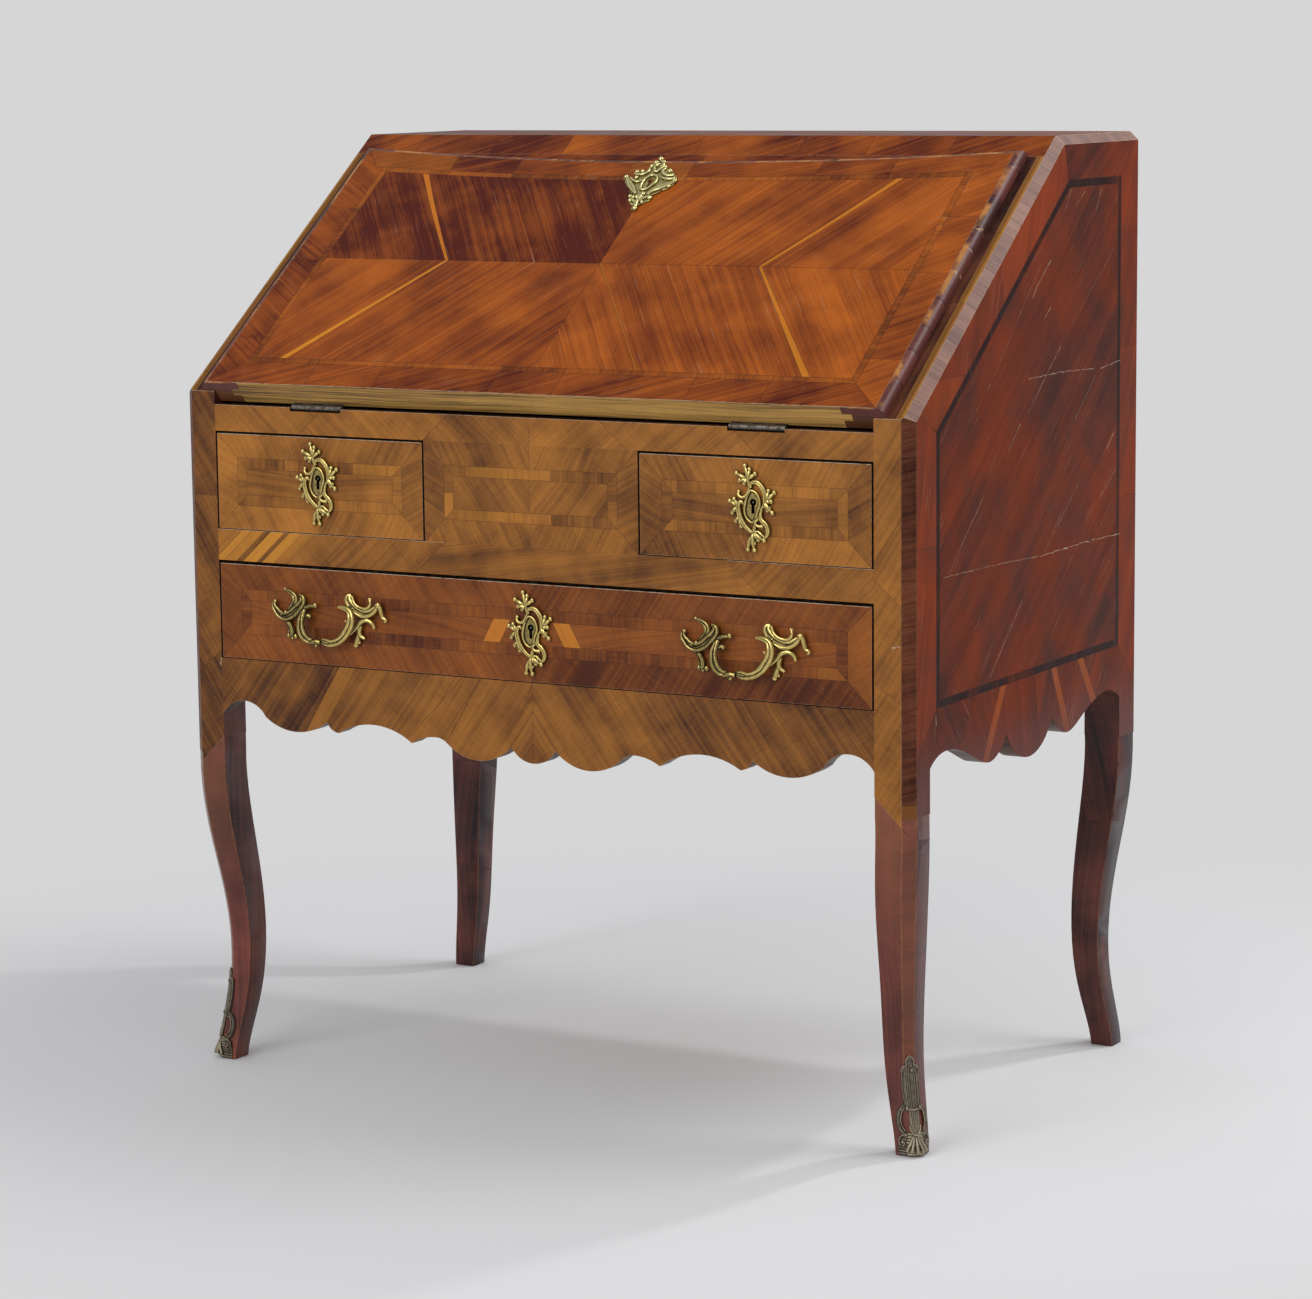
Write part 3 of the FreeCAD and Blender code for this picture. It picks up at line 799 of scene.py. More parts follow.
@dataclass(frozen=True)
class Crack:
    """A ragged crack or chip through a few points of a sheet, in millimetres, pale or dark."""

    points: Outline
    half: float = 0.5
    pale: bool = True

    def sides(self) -> list[Cut]:
        """Return pairs of points across the crack, one pair every few millimetres.

        Returns:
            The pairs.
        """
        found = []
        for number, (start, end) in enumerate(zip(self.points, self.points[1:])):
            size = math.dist(start, end)
            run, rise = (end[0] - start[0]) / size, (end[1] - start[1]) / size
            count = max(3, int(size / 6.0))
            for step in range(count + (number == len(self.points) - 2)):
                along, sway = size * step / count, pick(number * 31 + step, -1.1, 1.1) * self.half
                half = self.half * pick(number * 31 + step + 7, 0.2, 1.2)
                x, y = start[0] + run * along - rise * sway, start[1] + rise * along + run * sway
                found.append(((x + rise * half, y - run * half), (x - rise * half, y + run * half)))
        return found


class Layout:
    """How a sheet is cut into leaves. Each kind of panel has its own."""

    cracks: tuple[Crack, ...] = ()

    def cuts(self) -> Iterable[Cut]:
        """Return cut lines as a point and a direction."""
        return ()

    def leaf(self, x: float, y: float) -> Leaf | None:
        """Return the leaf at a point, or none where the sheet is cut away."""
        raise NotImplementedError

    def worn(self, x: float, y: float) -> float:
        """Return how worn the sheet's outer edge is near a point."""
        return 0.0


def upright(x: float) -> Cut:
    """Return an upright cut."""
    return (x, 0.0), (0.0, 1.0)


def level(y: float) -> Cut:
    """Return a level cut."""
    return (0.0, y), (1.0, 0.0)


def nearest(gaps: dict[str, float]) -> tuple[str, float, int]:
    """Return the nearest edge, its distance and its number."""
    side = min(gaps, key=lambda name: gaps[name])
    return side, gaps[side], list(gaps).index(side)


@dataclass
class BandedPanel(Layout):
    """A rectangle with a mitred cross-band, a narrow band of blocks and a matched field."""

    x0: float
    x1: float
    y0: float
    y1: float
    band: float = 25.0
    string: float = 11.0
    block: float = 38.0
    field_angle: float = 4.0
    band_angle: float = 62.0
    tone: float = 0.5
    field_tone: float = 0.36
    edge: float = 0.0
    seed: int = 1
    marks: tuple[float, ...] = ()
    arris: float = 0.8

    def cuts(self) -> Iterable[Cut]:
        """Return the cuts of bands, mitres, blocks and the middle joint.

        Returns:
            Cuts, each a point and a direction.
        """
        inset = self.band + self.string
        found = [upright(x) for x in (self.x0 + self.band, self.x0 + inset, self.x1 - inset,
            self.x1 - self.band)]
        found += [level(y) for y in (self.y0 + self.band, self.y0 + inset, self.y1 - inset,
            self.y1 - self.band)]
        for x, y, lean in ((self.x0, self.y0, 1.0), (self.x0, self.y1, -1.0), (self.x1, self.y0, -1.0),
                (self.x1, self.y1, 1.0)):
            found.append(((x, y), (1.0, lean)))
        middle = (self.x0 + self.x1) / 2.0
        found.append(upright(middle))
        count = int((self.x1 - self.x0) / self.block)
        found += [upright(self.x0 + n * (self.x1 - self.x0) / count) for n in range(1, count)]
        found.append(level((self.y0 + self.y1) / 2.0))
        for mark in self.marks:
            lean = 0.55 if mark < middle else -0.55
            found += [((mark - 10.0, self.y0 + inset), (lean, 1.0)),
                ((mark + 10.0, self.y0 + inset), (lean, 1.0))]
        return found + ([level(self.y1 - self.arris)] if self.arris else [])

    def leaf(self, x: float, y: float) -> Leaf:
        """Return the band, block or field leaf at a point.

        Args:
            x, y: the point in the plane, in millimetres.
        Returns:
            The leaf.
        """
        middle = (self.x0 + self.x1) / 2.0
        gaps = {"left": x - self.x0, "right": self.x1 - x, "low": y - self.y0, "high": self.y1 - y}
        side, gap, index = nearest(gaps)
        half = 0 if x < middle else 1
        number = index * 2 + half + self.seed * 31
        # The top arris strip is paler: wear together with a painted highlight.
        if gaps["high"] < self.arris:
            return Leaf(0.0, 0.6, 0.0, number, wear=0.4)
        if gap < self.band:
            lie = self.band_angle if side in ("low", "high") else 90.0 - self.band_angle
            tone = self.tone + pick(number, -0.14, 0.16)
            return Leaf(lie, tone, pick(number + 5, -0.5, 0.25) * 0.6 if side == "right" else 0.0, number,
                fold_x=middle)
        if gap < self.band + self.string:
            count = int((self.x1 - self.x0) / self.block)
            upper = y > (self.y0 + self.y1) / 2.0
            cell = int((x - self.x0) / (self.x1 - self.x0) * count) * 3 + upper
            if side in ("left", "right"):
                cell += 500
            number = self.seed * 101 + cell
            tone = self.tone + pick(number, -0.13, 0.15)
            return Leaf(90.0 if side in ("low", "high") else 0.0, tone, max(0.0, pick(number + 3, -1.0, 0.3)),
                number)
        inset = self.band + self.string
        for place, mark in enumerate(self.marks):
            lean = 0.55 if mark < middle else -0.55
            if abs(x - mark - lean * (y - self.y0 - inset)) < 10.0:
                return Leaf(math.degrees(math.atan2(1.0, lean)), 0.8, 0.62, self.seed * 7 + place)
        tone = self.field_tone + (0.0 if half == 0 else 0.05)
        return Leaf(self.field_angle, tone, 0.0, self.seed * 11 + half, fold_x=middle)

    def worn(self, x: float, y: float) -> float:
        """Return the wear of the outer edge, most along the top, where the pale line is wear together with a
        painted highlight.
        """
        return 1.0 if y > self.y1 - 2.0 else self.edge


@dataclass
class LidPanel(Layout):
    """The fall's face: four matched quarters with sapwood strips, a narrow band and a cross-band."""

    half: float = 390.0
    low: float = 0.8
    high: float = 373.5
    middle: float = 206.0
    rim: float = 34.0
    string: float = 7.0
    angle: float = 54.4
    strip_foot: float = 185.0
    centre: float = -8.0
    sliver: float = 1.7

    def cuts(self) -> Iterable[Cut]:
        """Return the cuts of the bands, the quarters and the sapwood strips.

        Returns:
            Cuts, each a point and a direction.
        """
        inner = self.half - self.rim
        found = [upright(x) for x in (-inner, -inner + self.string, inner - self.string, inner, self.centre)]
        found += [level(y) for y in (self.low + self.rim, self.low + self.rim + self.string, self.middle,
            self.high - 0.7 * self.rim - self.string, self.high - 0.7 * self.rim)]
        found += [upright(x) for x in self.joints(-self.half, self.half, 7)]
        found += [level(y) for y in self.joints(self.low, self.high, 4)]
        for edge in (0.0, self.sliver):
            found.append(((self.centre + edge, self.middle), (self.strip()[0][1], -1.0)))
        for across in (-1.0, 1.0):
            for rise in (-1.0, 1.0):
                for foot, lean in self.strip():
                    found.append(((self.centre + across * foot, self.middle), (across * lean, rise)))
            for y, rise in ((self.low, 1.0), (self.high, -1.0)):
                found.append(((across * self.half, y), (-across, rise)))
        return found

    def strip(self) -> Cut:
        """Return the two edges of a sapwood strip as a foot and a lean."""
        lean = 1.0 / math.tan(math.radians(self.angle))
        return (self.strip_foot, lean), (self.strip_foot + 4.2, lean + 0.03)

    @staticmethod
    def joints(low: float, high: float, count: int) -> list[float]:
        """Return uneven places of joints between two ends."""
        step = (high - low) / count
        return [low + step * (n + pick(n + count, -0.25, 0.25)) for n in range(1, count)]

    def leaf(self, x: float, y: float) -> Leaf:
        """Return the leaf at a point of the face before its top edge is bent.

        Args:
            x, y: the point in the plane, in millimetres.
        Returns:
            The leaf.
        """
        gaps = {"left": x + self.half, "right": self.half - x, "low": y - self.low,
            "high": (self.high - y) / 0.7}
        side, gap, index = nearest(gaps)
        flat = side in ("low", "high")
        place = x if flat else y
        spots = self.joints(-self.half, self.half, 7) if flat else self.joints(self.low, self.high, 4)
        number = sum(place > spot for spot in spots) + index * 20
        if gap < self.rim:
            lie = {"left": 146.0, "right": 34.0, "low": 24.0, "high": 16.0}[side]
            tone = {"left": 0.38, "right": 0.6, "low": 0.34, "high": 0.34}[side]
            sap = 0.14 if side == "high" and number % 20 in (0, 3) else 0.0
            return Leaf(lie, tone + pick(number, -0.12, 0.14), sap, number + 40)
        if gap < self.rim + self.string:
            return Leaf(90.0 if flat else 0.0, pick(number + 9, 0.26, 0.5),
                max(0.08, pick(number + 3, -1.2, 0.45)), number + 90)
        right, upper = x > self.centre, y > self.middle
        rise, away = abs(y - self.middle), abs(x - self.centre)
        (foot, lean), (far_foot, far_lean) = self.strip()
        if foot + lean * rise < away < far_foot + far_lean * rise:
            sap = {(False, True): 0.4, (True, True): 0.56, (False, False): 0.74,
                (True, False): 0.5}[(right, upper)]
            return Leaf(self.angle, 0.8, sap, 7 + right + 2 * upper, self.centre, self.middle)
        if right and not upper and 0.0 < away - lean * rise < self.sliver:
            return Leaf(self.angle, 0.8, 0.5, 12, self.centre, self.middle)
        # Painted sheen: the quarters differ in tone as the figure's chatoyance catches the light, the upper
        # left darkest.
        tone = {(False, True): 0.14, (True, True): 0.52, (False, False): 0.49,
            (True, False): 0.56}[(right, upper)]
        outer = away > foot + lean * rise
        return Leaf(self.angle, tone + (0.05 if outer else 0.0), 0.0, 5 + outer, self.centre, self.middle)

    def worn(self, x: float, y: float) -> float:
        """Return wear along the lower edge."""
        return 0.9 if y < self.low + 2.0 else 0.35

    def sag(self, x: float, y: float) -> float:
        """Return how far the upper part is lifted towards its ends."""
        share = max(0.0, min(1.0, (y - self.middle) / (self.high - self.middle)))
        return (3790.0 - math.sqrt(3790.0 ** 2 - x * x)) * share ** 1.5


@dataclass
class FrontFrame(Layout):
    """Rails, posts and apron of the front, with the fixed panel between the small drawers."""

    panel: BandedPanel = field(default_factory=lambda: BandedPanel(-125.5, 125.5, 581.5, 685.0, band=24.0,
        arris=0.0, field_angle=52.0, field_tone=0.42, tone=0.5, seed=4, block=48.0))
    inner: float = 385.0
    frieze_low: float = 685.0
    frieze_line: float = 700.0
    panel_low: float = 581.5
    rail_low: float = 548.0
    rail_line: float = 565.0
    rail_end: float = 243.0
    lean: float = 0.9
    apron_high: float = 444.0
    apron_lean: float = 0.62
    apron_joints: Spot = (-235.0, -215.0, 150.0)
    left_joints: Point = (430.0, 612.0)
    right_joints: Point = (470.0, 560.0)
    streaks: tuple[float, ...] = (-372.0, -360.0, -344.0, -336.0, -318.0, -312.0, -296.0, -280.0, -236.0,
        -120.0)
    frieze: tuple[float, ...] = (-262.0, -110.0, 96.0, 243.0)
    cracks: tuple[Crack, ...] = (Crack(((-84.3, 443.1), (-145.4, 381.3)), 0.25, False),
        Crack(((-62.6, 442.6), (-101.4, 379.6)), 0.35, False),
        Crack(((-0.6, 441.9), (-13, 411.2)), 0.28, False), Crack(((404, 507.5), (412.5, 508.5)), 1),
        Crack(((-387.5, 436), (-385.5, 443.5)), 0.9))

    def cuts(self) -> Iterable[Cut]:
        """Return the panel's cuts, the middle joint and the joints in rails and posts.

        Returns:
            Cuts, each a point and a direction.
        """
        found = list(self.panel.cuts())
        found.append(upright(0.0))
        found += [((x, self.rail_line), (1.0, self.lean)) for x in self.streaks]
        found += [((x, self.frieze_line), (1.0, self.lean if x < 0.0 else -self.lean)) for x in self.frieze]
        found.append(((self.rail_end, self.rail_line), (1.0, -self.lean)))
        found += [((-way * CHAMFER_X, LEG_JOINT_Z), (1.0, way * LEG_JOINT_LEAN)) for way in (1.0, -1.0)]
        left, right = self.left_joints, self.right_joints
        found += [((-self.inner, left[1]), (1.0, 0.75)), ((self.inner, right[1]), (1.0, -0.7)),
            ((self.inner, right[0]), (1.0, -0.6)), ((-self.inner, left[0]), (1.0, 0.7))]
        for x in (self.apron_joints[1], self.apron_joints[0], self.apron_joints[2]):
            found.append(((x, self.apron_high), (self.apron_lean if x < 0.0 else -self.apron_lean, 1.0)))
        return found

    def leaf(self, x: float, y: float) -> Leaf | None:
        """Return the leaf at a point of the front, or none below the legs' joints.

        Args:
            x, y: the point in the plane, in millimetres.
        Returns:
            The leaf or none.
        """
        right = x > 0.0
        if abs(x) > self.inner:
            if y < LEG_JOINT_Z + LEG_JOINT_LEAN * (CHAMFER_X - abs(x)):
                return None
            if right:
                part = sum(y > edge for edge in self.right_joints)
                return Leaf(58.0, 0.5 + (0.1, 0.0, 0.08)[part], 0.0, 61 + part)
            part = sum(y > edge for edge in self.left_joints)
            return Leaf(122.0, 0.28 + (-0.02, 0.1, 0.0)[part], 0.0, 65 + part)
        if y > self.frieze_low:
            lean = (y - self.frieze_line) / self.lean * (1.0 if x < 0.0 else -1.0)
            part = sum(x - lean > place for place in self.frieze) + (x > 0.0)
            return Leaf(40.0, (0.54, 0.62, 0.54, 0.6, 0.54, 0.48)[part], 0.0, 70 + part, fold_x=0.0)
        if y > self.panel_low:
            return self.panel.leaf(x, y)
        if y > self.rail_low:
            part = sum(x - (y - self.rail_line) / self.lean > place for place in self.streaks)
            if part < len(self.streaks):
                tone = (0.62, 0.9, 0.75, 0.3, 0.95, 0.4, 0.85, 0.6, 0.55, 0.46)[part]
                return Leaf(42.0, tone, (0.2, 0.7, 0.4, 0.0, 0.8, 0.0, 0.6, 0.25, 0.0, 0.0)[part], 80 + part)
            right_end = x + (y - self.rail_line) / self.lean > self.rail_end
            return Leaf(42.0, 0.46 if right_end else 0.5, 0.0, 80, fold_x=0.0)
        shift = self.apron_lean * (self.apron_high - y)
        left_far, left_near, right_far = self.apron_joints
        if left_far < x + shift < left_near:
            return Leaf(-58.0, 0.6, 0.12, 90, fold_x=0.0)
        outer = x + shift < left_far or x - shift > right_far
        return Leaf(-54.0, 0.36 if outer else 0.48 if right else 0.44, 0.0, 92 + outer, fold_x=0.0)

    def worn(self, x: float, y: float) -> float:
        """Return wear along the scalloped edge and the rails' upper edges.

        Args:
            x, y: the point in the plane, in millimetres.
        Returns:
            The wear, from 0 to 1.
        """
        if y < 402.0:
            return 0.3
        return 0.8 if y > 711.0 or (abs(y - self.panel_low) < 1.5 and abs(x) > 126.0) else 0.0


@dataclass
class SidePanel(Layout):
    """A side: a wide band, a narrow dark band and a field of steep grain, with a fan below."""

    front: float = -256.0
    foot: float = 396.0
    rim: float = 45.0
    string: float = 7.5
    cracks: tuple[Crack, ...] = (Crack(((-195, 567.4), (-60, 565), (34, 561.2)), 0.35),
        Crack(((34, 561.2), (150, 562.2), (245, 560.8)), 0.7),
        Crack(((2.7, 744.2), (82, 745), (170, 742)), 0.45),
        Crack(((185, 741), (239, 745.5)), 0.5), Crack(((-211.5, 434), (-211, 425)), 0.9),
        Crack(((57.4, 859.9), (30, 841), (12.5, 825.5)), 0.6), Crack(((107.7, 929.8), (92.5, 907.7)), 0.4),
        Crack(((144.2, 926.3), (118.3, 912.8)), 0.35), Crack(((186.6, 929), (171, 904.4)), 0.45),
        Crack(((84, 771.3), (42, 741), (3.6, 709.4)), 0.4), Crack(((-16.1, 700.9), (-45.4, 675)), 0.4),
        Crack(((-103.1, 636.1), (-140, 606), (-182.5, 568.9)), 0.3),
        Crack(((223.6, 670.9), (202.1, 653.5)), 0.6), Crack(((229.8, 631.3), (186.7, 605.5)), 0.4),
        Crack(((-9.7, 520.5), (-50, 487), (-87.7, 452.7)), 0.4),
        Crack(((132.8, 628.2), (45.4, 563.9)), 0.3), Crack(((57.9, 812.5), (42.8, 803.1)), 0.5),
        Crack(((32.2, 857.1), (-94, 740)), 0.2), Crack(((220.1, 864.1), (109.6, 790.4)), 0.2),
        Crack(((173.8, 735.1), (95.6, 674.1)), 0.25))

    def gaps(self, y: float, z: float) -> dict[str, float]:
        """Return the distances from the side's edges."""
        line = SLOPE_Z + (y - FRONT_Y) * math.tan(SLOPE)
        return {"front": y - self.front, "rear": REAR_Y - y, "high": TOP_Z - z,
            "slope": (line - z) * math.cos(SLOPE), "low": z - self.foot}

    def cuts(self) -> Iterable[Cut]:
        """Return the cuts of the bands, the corners and the fan.

        Returns:
            Cuts, each a point and a direction.
        """
        lean = (math.cos(SLOPE), math.sin(SLOPE))
        found = []
        for inset in (self.rim, self.rim + self.string):
            found += [upright(self.front + inset), upright(REAR_Y - inset), level(TOP_Z - inset),
                level(self.foot + inset)]
            found.append(((FRONT_Y, SLOPE_Z - inset / math.cos(SLOPE)), lean))
        turn = math.pi / 4.0 + SLOPE / 2.0
        found.append(((self.front, 733.0), (math.cos(SLOPE - turn), math.sin(SLOPE - turn))))
        found.append(((87.7, TOP_Z), (math.sin(SLOPE / 2.0), -math.cos(SLOPE / 2.0))))
        found += [((REAR_Y, TOP_Z), (1.0, 1.0)), ((self.front, self.foot), (1.0, 1.0)),
            ((REAR_Y, self.foot), (1.0, -1.0))]
        found += [((y, self.foot + self.rim), (lean, -1.0)) for y, lean in self.fan()]
        return found + [level(600.0), level(760.0)]

    @staticmethod
    def fan() -> list[Point]:
        """Return the joints of the fan below as a place and a lean."""
        return [(-120.0, -0.9), (-62.0, -0.62), (-48.0, -0.58), (20.0, 0.2), (62.0, 0.5), (76.0, 0.52),
            (130.0, 0.7), (145.0, 0.72)]

    def leaf(self, x: float, y: float) -> Leaf:
        """Return the leaf at a point, x towards the back and y up.

        Args:
            x, y: the point in the plane, in millimetres.
        Returns:
            The leaf.
        """
        gaps = self.gaps(x, y)
        side, gap, index = nearest(gaps)
        if y < self.foot + self.rim and -211.0 < x < 238.0:
            spots = self.fan()
            part = sum(x > place + lean * (self.foot + self.rim - y) for place, lean in spots)
            light = part in (2, 5, 7)
            return Leaf((132.0, 122.0, 118.0, 100.0, 70.0, 62.0, 58.0, 55.0, 50.0)[part],
                0.75 if light else 0.42 + pick(part, -0.12, 0.14), 0.55 if light else 0.0, 30 + part)
        if gap < self.rim:
            lie = {"front": 78.0, "rear": 68.0, "high": 30.0, "slope": 75.0, "low": 80.0}[side]
            part = (x > 0) + 2 * (y > 600.0) + 4 * (y > 760.0)
            number = index * 9 + part
            lift = {"front": 0.26, "slope": 0.18, "high": 0.04, "rear": 0.1, "low": 0.0}[side]
            return Leaf(lie, 0.46 + lift + pick(number, -0.12, 0.12), max(0.0, pick(number + 2, -1.2, 0.3)),
                number)
        if gap < self.rim + self.string:
            return Leaf(90.0, 0.08, 0.0, 50 + index)
        return Leaf(39.0, 0.42, 0.0, 60)


@dataclass
class TopPanel(Layout):
    """The top board: a cross-band around a matched field."""

    half: float = BEVEL_X
    rim: float = 36.0
    y0: float = 88.0
    y1: float = REAR_Y

    def cuts(self) -> Iterable[Cut]:
        """Return the cuts of the band and the field's joints.

        Returns:
            Cuts, each a point and a direction.
        """
        found = [upright(x) for x in (-self.half + self.rim, self.half - self.rim, -190.0, 0.0, 190.0)]
        found += [level(self.y0 + self.rim), level(self.y1 - self.rim)]
        for x, y, lean in ((-self.half, self.y0, 1.0), (self.half, self.y0, -1.0), (-self.half, self.y1, -1.0),
                (self.half, self.y1, 1.0)):
            found.append(((x, y), (1.0, lean)))
        return found

    def leaf(self, x: float, y: float) -> Leaf:
        """Return the leaf at a point of the top.

        Args:
            x, y: the point in the plane, in millimetres.
        Returns:
            The leaf.
        """
        gaps = {"left": x + self.half, "right": self.half - x, "low": y - self.y0, "high": self.y1 - y}
        side, gap, index = nearest(gaps)
        part = (x > -190.0) + (x > 0.0) + (x > 190.0)
        if gap < self.rim:
            number = index * 5 + part
            return Leaf(85.0 if side in ("low", "high") else 5.0, 0.45 + pick(number, -0.15, 0.15), 0.0, number)
        return Leaf(30.0, 0.44 + 0.05 * (part % 2), 0.0, 40, fold_x=0.0)

    def worn(self, x: float, y: float) -> float:
        """Return wear all round."""
        return 0.5


@dataclass
class CrossStrip(Layout):
    """A narrow strip of short cross-grain pieces, such as a chamfer or the edge beside the fall."""

    step: float
    tone: float
    spread: float = 0.18
    angle: float = 8.0
    edge: float = 0.5
    low: float = -100.0
    high: float = 1200.0
    along_x: bool = False
    sap: float = 0.0

    def cuts(self) -> Iterable[Cut]:
        """Return a cut at each piece.

        Returns:
            Cuts, each a point and a direction.
        """
        count = int((self.high - self.low) / self.step)
        cut = upright if self.along_x else level
        return [cut(self.place(n)) for n in range(count)]

    def place(self, number: int) -> float:
        """Return where a joint is."""
        return self.low + (number + pick(number, -0.22, 0.22)) * self.step

    def leaf(self, x: float, y: float) -> Leaf:
        """Return the piece at a point.

        Args:
            x, y: the point in the plane, in millimetres.
        Returns:
            The leaf.
        """
        way = x if self.along_x else y
        guess = int((way - self.low) / self.step)
        number = max((n for n in range(guess - 2, guess + 3) if self.place(n) <= way), default=guess)
        lie = 90.0 - self.angle if self.along_x else self.angle
        sap = max(0.0, pick(number + 8, -self.sap, self.sap))
        return Leaf(lie, self.tone + pick(number + 3, -self.spread, self.spread), sap, number + 200)

    def worn(self, x: float, y: float) -> float:
        """Return the same wear along both edges."""
        return self.edge


@dataclass
class SlopeStrip(CrossStrip):
    """The strip beside the fall: painted shade in the groove by the lip, then olive, then golden at the worn
    bevel.
    """

    groove_shade: float = 408.0
    olive: float = 412.6
    gold: float = 416.5

    def cuts(self) -> Iterable[Cut]:
        """Return the cross joints and the long lines on either side of the desk."""
        lines = (self.groove_shade, self.olive, self.gold)
        return list(super().cuts()) + [upright(way * x) for way in (-1.0, 1.0) for x in lines]

    def leaf(self, x: float, y: float) -> Leaf:
        """Return the piece at a point.

        Args:
            x, y: the point in the plane, in millimetres.
        Returns:
            The leaf.
        """
        number = int((y + 100.0) / 130.0)
        # Painted shade: the band next to the fall's lip is darkened where the groove lies in shade.
        if abs(x) < self.groove_shade:
            return Leaf(88.0, 0.3 + pick(number, -0.06, 0.1), 0.0, 300 + number)
        if abs(x) < self.olive:
            return Leaf(88.0, 0.45 + pick(number, -0.1, 0.1), 0.32, 340 + number)
        if abs(x) < self.gold:
            return Leaf(88.0, 0.75 + pick(number, -0.2, 0.1), 0.6 + pick(number + 4, -0.15, 0.1), 320 + number)
        return super().leaf(x, y)


@dataclass
class VeneerSheet:
    """A thin sheet of veneer on one flat face, cut into leaves with dark joints."""

    name: str
    plane: Plane
    layout: Layout
    material: Material
    joint: float = 0.4
    lift: float = 0.3
    thick: float = 0.45
    flat_limit: float = 0.4

    def from_rectangle(self, x0: float, x1: float, y0: float, y1: float, columns: int = 1) -> Piece:
        """Start from a rectangle.

        Args:
            x0, x1, y0, y1: its sides in the plane, in millimetres.
            columns: how many columns it is divided into.
        Returns:
            The finished sheet.
        """
        bpy.ops.object.select_all(action="DESELECT")
        bpy.ops.mesh.primitive_grid_add(x_subdivisions=columns, y_subdivisions=1, size=1.0)
        obj = bpy.context.object
        middle = Matrix.Translation(((x0 + x1) / 2.0 * MM, (y0 + y1) / 2.0 * MM, 0.0))
        scale = Matrix.Diagonal(((x1 - x0) * MM, (y1 - y0) * MM, 1.0, 1.0))
        obj.matrix_world = self.plane.matrix() @ middle @ scale
        settle(obj)
        return self.dress(obj)

    def from_nodes(self, nodes: Iterable[str], keep: Callable[[Vector], bool] = lambda place: True) -> Piece:
        """Start from the nodes' own faces that lie in the plane.

        Args:
            nodes: CAD nodes whose faces are copied.
            keep: tells which of those faces stay, by their middle.
        Returns:
            The finished sheet.
        """
        obj = merge(self.name, [add_object(self.name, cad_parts[node].data.copy()) for node in nodes])
        mesh = edit(obj)
        bpy.ops.mesh.remove_doubles(threshold=SAME_POINT)
        normal = self.plane.normal()
        base = normal.dot(Vector(self.plane.origin) * MM)
        for face in mesh.faces:
            flat = face.normal.dot(normal) > FACES_OUT
            flat = flat and all(abs(vert.co.dot(normal) - base) < IN_PLANE for vert in face.verts)
            face.select_set(not (flat and keep(face.calc_center_median())))
        bmesh.update_edit_mesh(obj.data)
        bpy.ops.mesh.delete(type="FACE")
        bpy.ops.mesh.select_all(action="SELECT")
        bpy.ops.mesh.dissolve_limited(angle_limit=math.radians(0.2))
        close_edit()
        return self.dress(obj)

    def dress(self, obj: Piece) -> Piece:
        """Cut the sheet into leaves, mark the joints, map the grain and give it thickness.

        Args:
            obj: a flat mesh in the plane.
        Returns:
            The same object, finished.
        """
        obj.name = obj.data.name = self.name
        edit(obj)
        for (x, y), (run, rise) in self.layout.cuts():
            line = Vector(self.plane.across) * run + Vector(self.plane.up) * rise
            bpy.ops.mesh.select_all(action="SELECT")
            bpy.ops.mesh.bisect(plane_co=self.plane.world(x, y), plane_no=line.cross(self.plane.normal()),
                threshold=KNIFE)
        mesh = bmesh.from_edit_mesh(obj.data)
        leaves: list[Leaf | None] = []
        for face in mesh.faces:
            leaf = self.layout.leaf(*self.plane.local(face.calc_center_median()))
            if leaf not in leaves:
                leaves.append(leaf)
            face.material_index = leaves.index(leaf)
            face.select_set(leaf is None)
        bmesh.update_edit_mesh(obj.data)
        bpy.ops.mesh.delete(type="FACE")
        mesh = bmesh.from_edit_mesh(obj.data)
        if isinstance(self.layout, LidPanel):
            for vert in mesh.verts:
                x, y = self.plane.local(vert.co)
                vert.co += Vector(self.plane.up) * self.layout.sag(x, y) * MM
        bmesh.update_edit_mesh(obj.data)
        bpy.ops.mesh.select_all(action="SELECT")
        if isinstance(self.layout, LidPanel):
            bpy.ops.mesh.remove_doubles(threshold=LID_MERGE)
        bpy.ops.mesh.dissolve_limited(angle_limit=math.radians(self.flat_limit), delimit={"MATERIAL"})
        bpy.ops.mesh.select_all(action="SELECT")
        bpy.ops.mesh.inset(thickness=self.joint * MM, use_individual=True, use_boundary=True)
        close_edit()
        self.paint(obj, leaves)
        hold(obj)
        bpy.ops.transform.translate(value=self.plane.normal() * self.lift * MM)
        settle(obj)
        finish_with(obj, "SOLIDIFY", thickness=self.thick * MM, offset=-1.0)
        for crack in self.layout.cracks:
            hold(obj, self.ribbon(crack))
            bpy.ops.object.join()
        return obj

    def ribbon(self, crack: Crack) -> Piece:
        """Make one crack as a thin ragged ribbon on the sheet.

        Args:
            crack: its line and width.
        Returns:
            The ribbon, painted for the sheet's material.
        """
        sides = crack.sides()
        bpy.ops.object.select_all(action="DESELECT")
        bpy.ops.mesh.primitive_grid_add(x_subdivisions=len(sides) - 1, y_subdivisions=1, size=1.0)
        obj = bpy.context.object
        mesh = edit(obj)
        order = sorted(mesh.verts, key=lambda vert: (round(vert.co.x, 4), vert.co.y))
        for vert, (x, y) in zip(order, (point for pair in sides for point in pair)):
            vert.co = self.plane.world(x, y, self.lift + 0.06)
        bmesh.update_edit_mesh(obj.data)
        if self.plane.turned:
            bpy.ops.mesh.flip_normals()
        close_edit()
        for part in leaf_layers(obj.data)[1].data:
            part.color = (0.5, 0.0, 0.0, 0.7) if crack.pale else (-0.5, 0.0, 1.0, 0.0)
        obj.data.materials.append(self.material)
        return obj

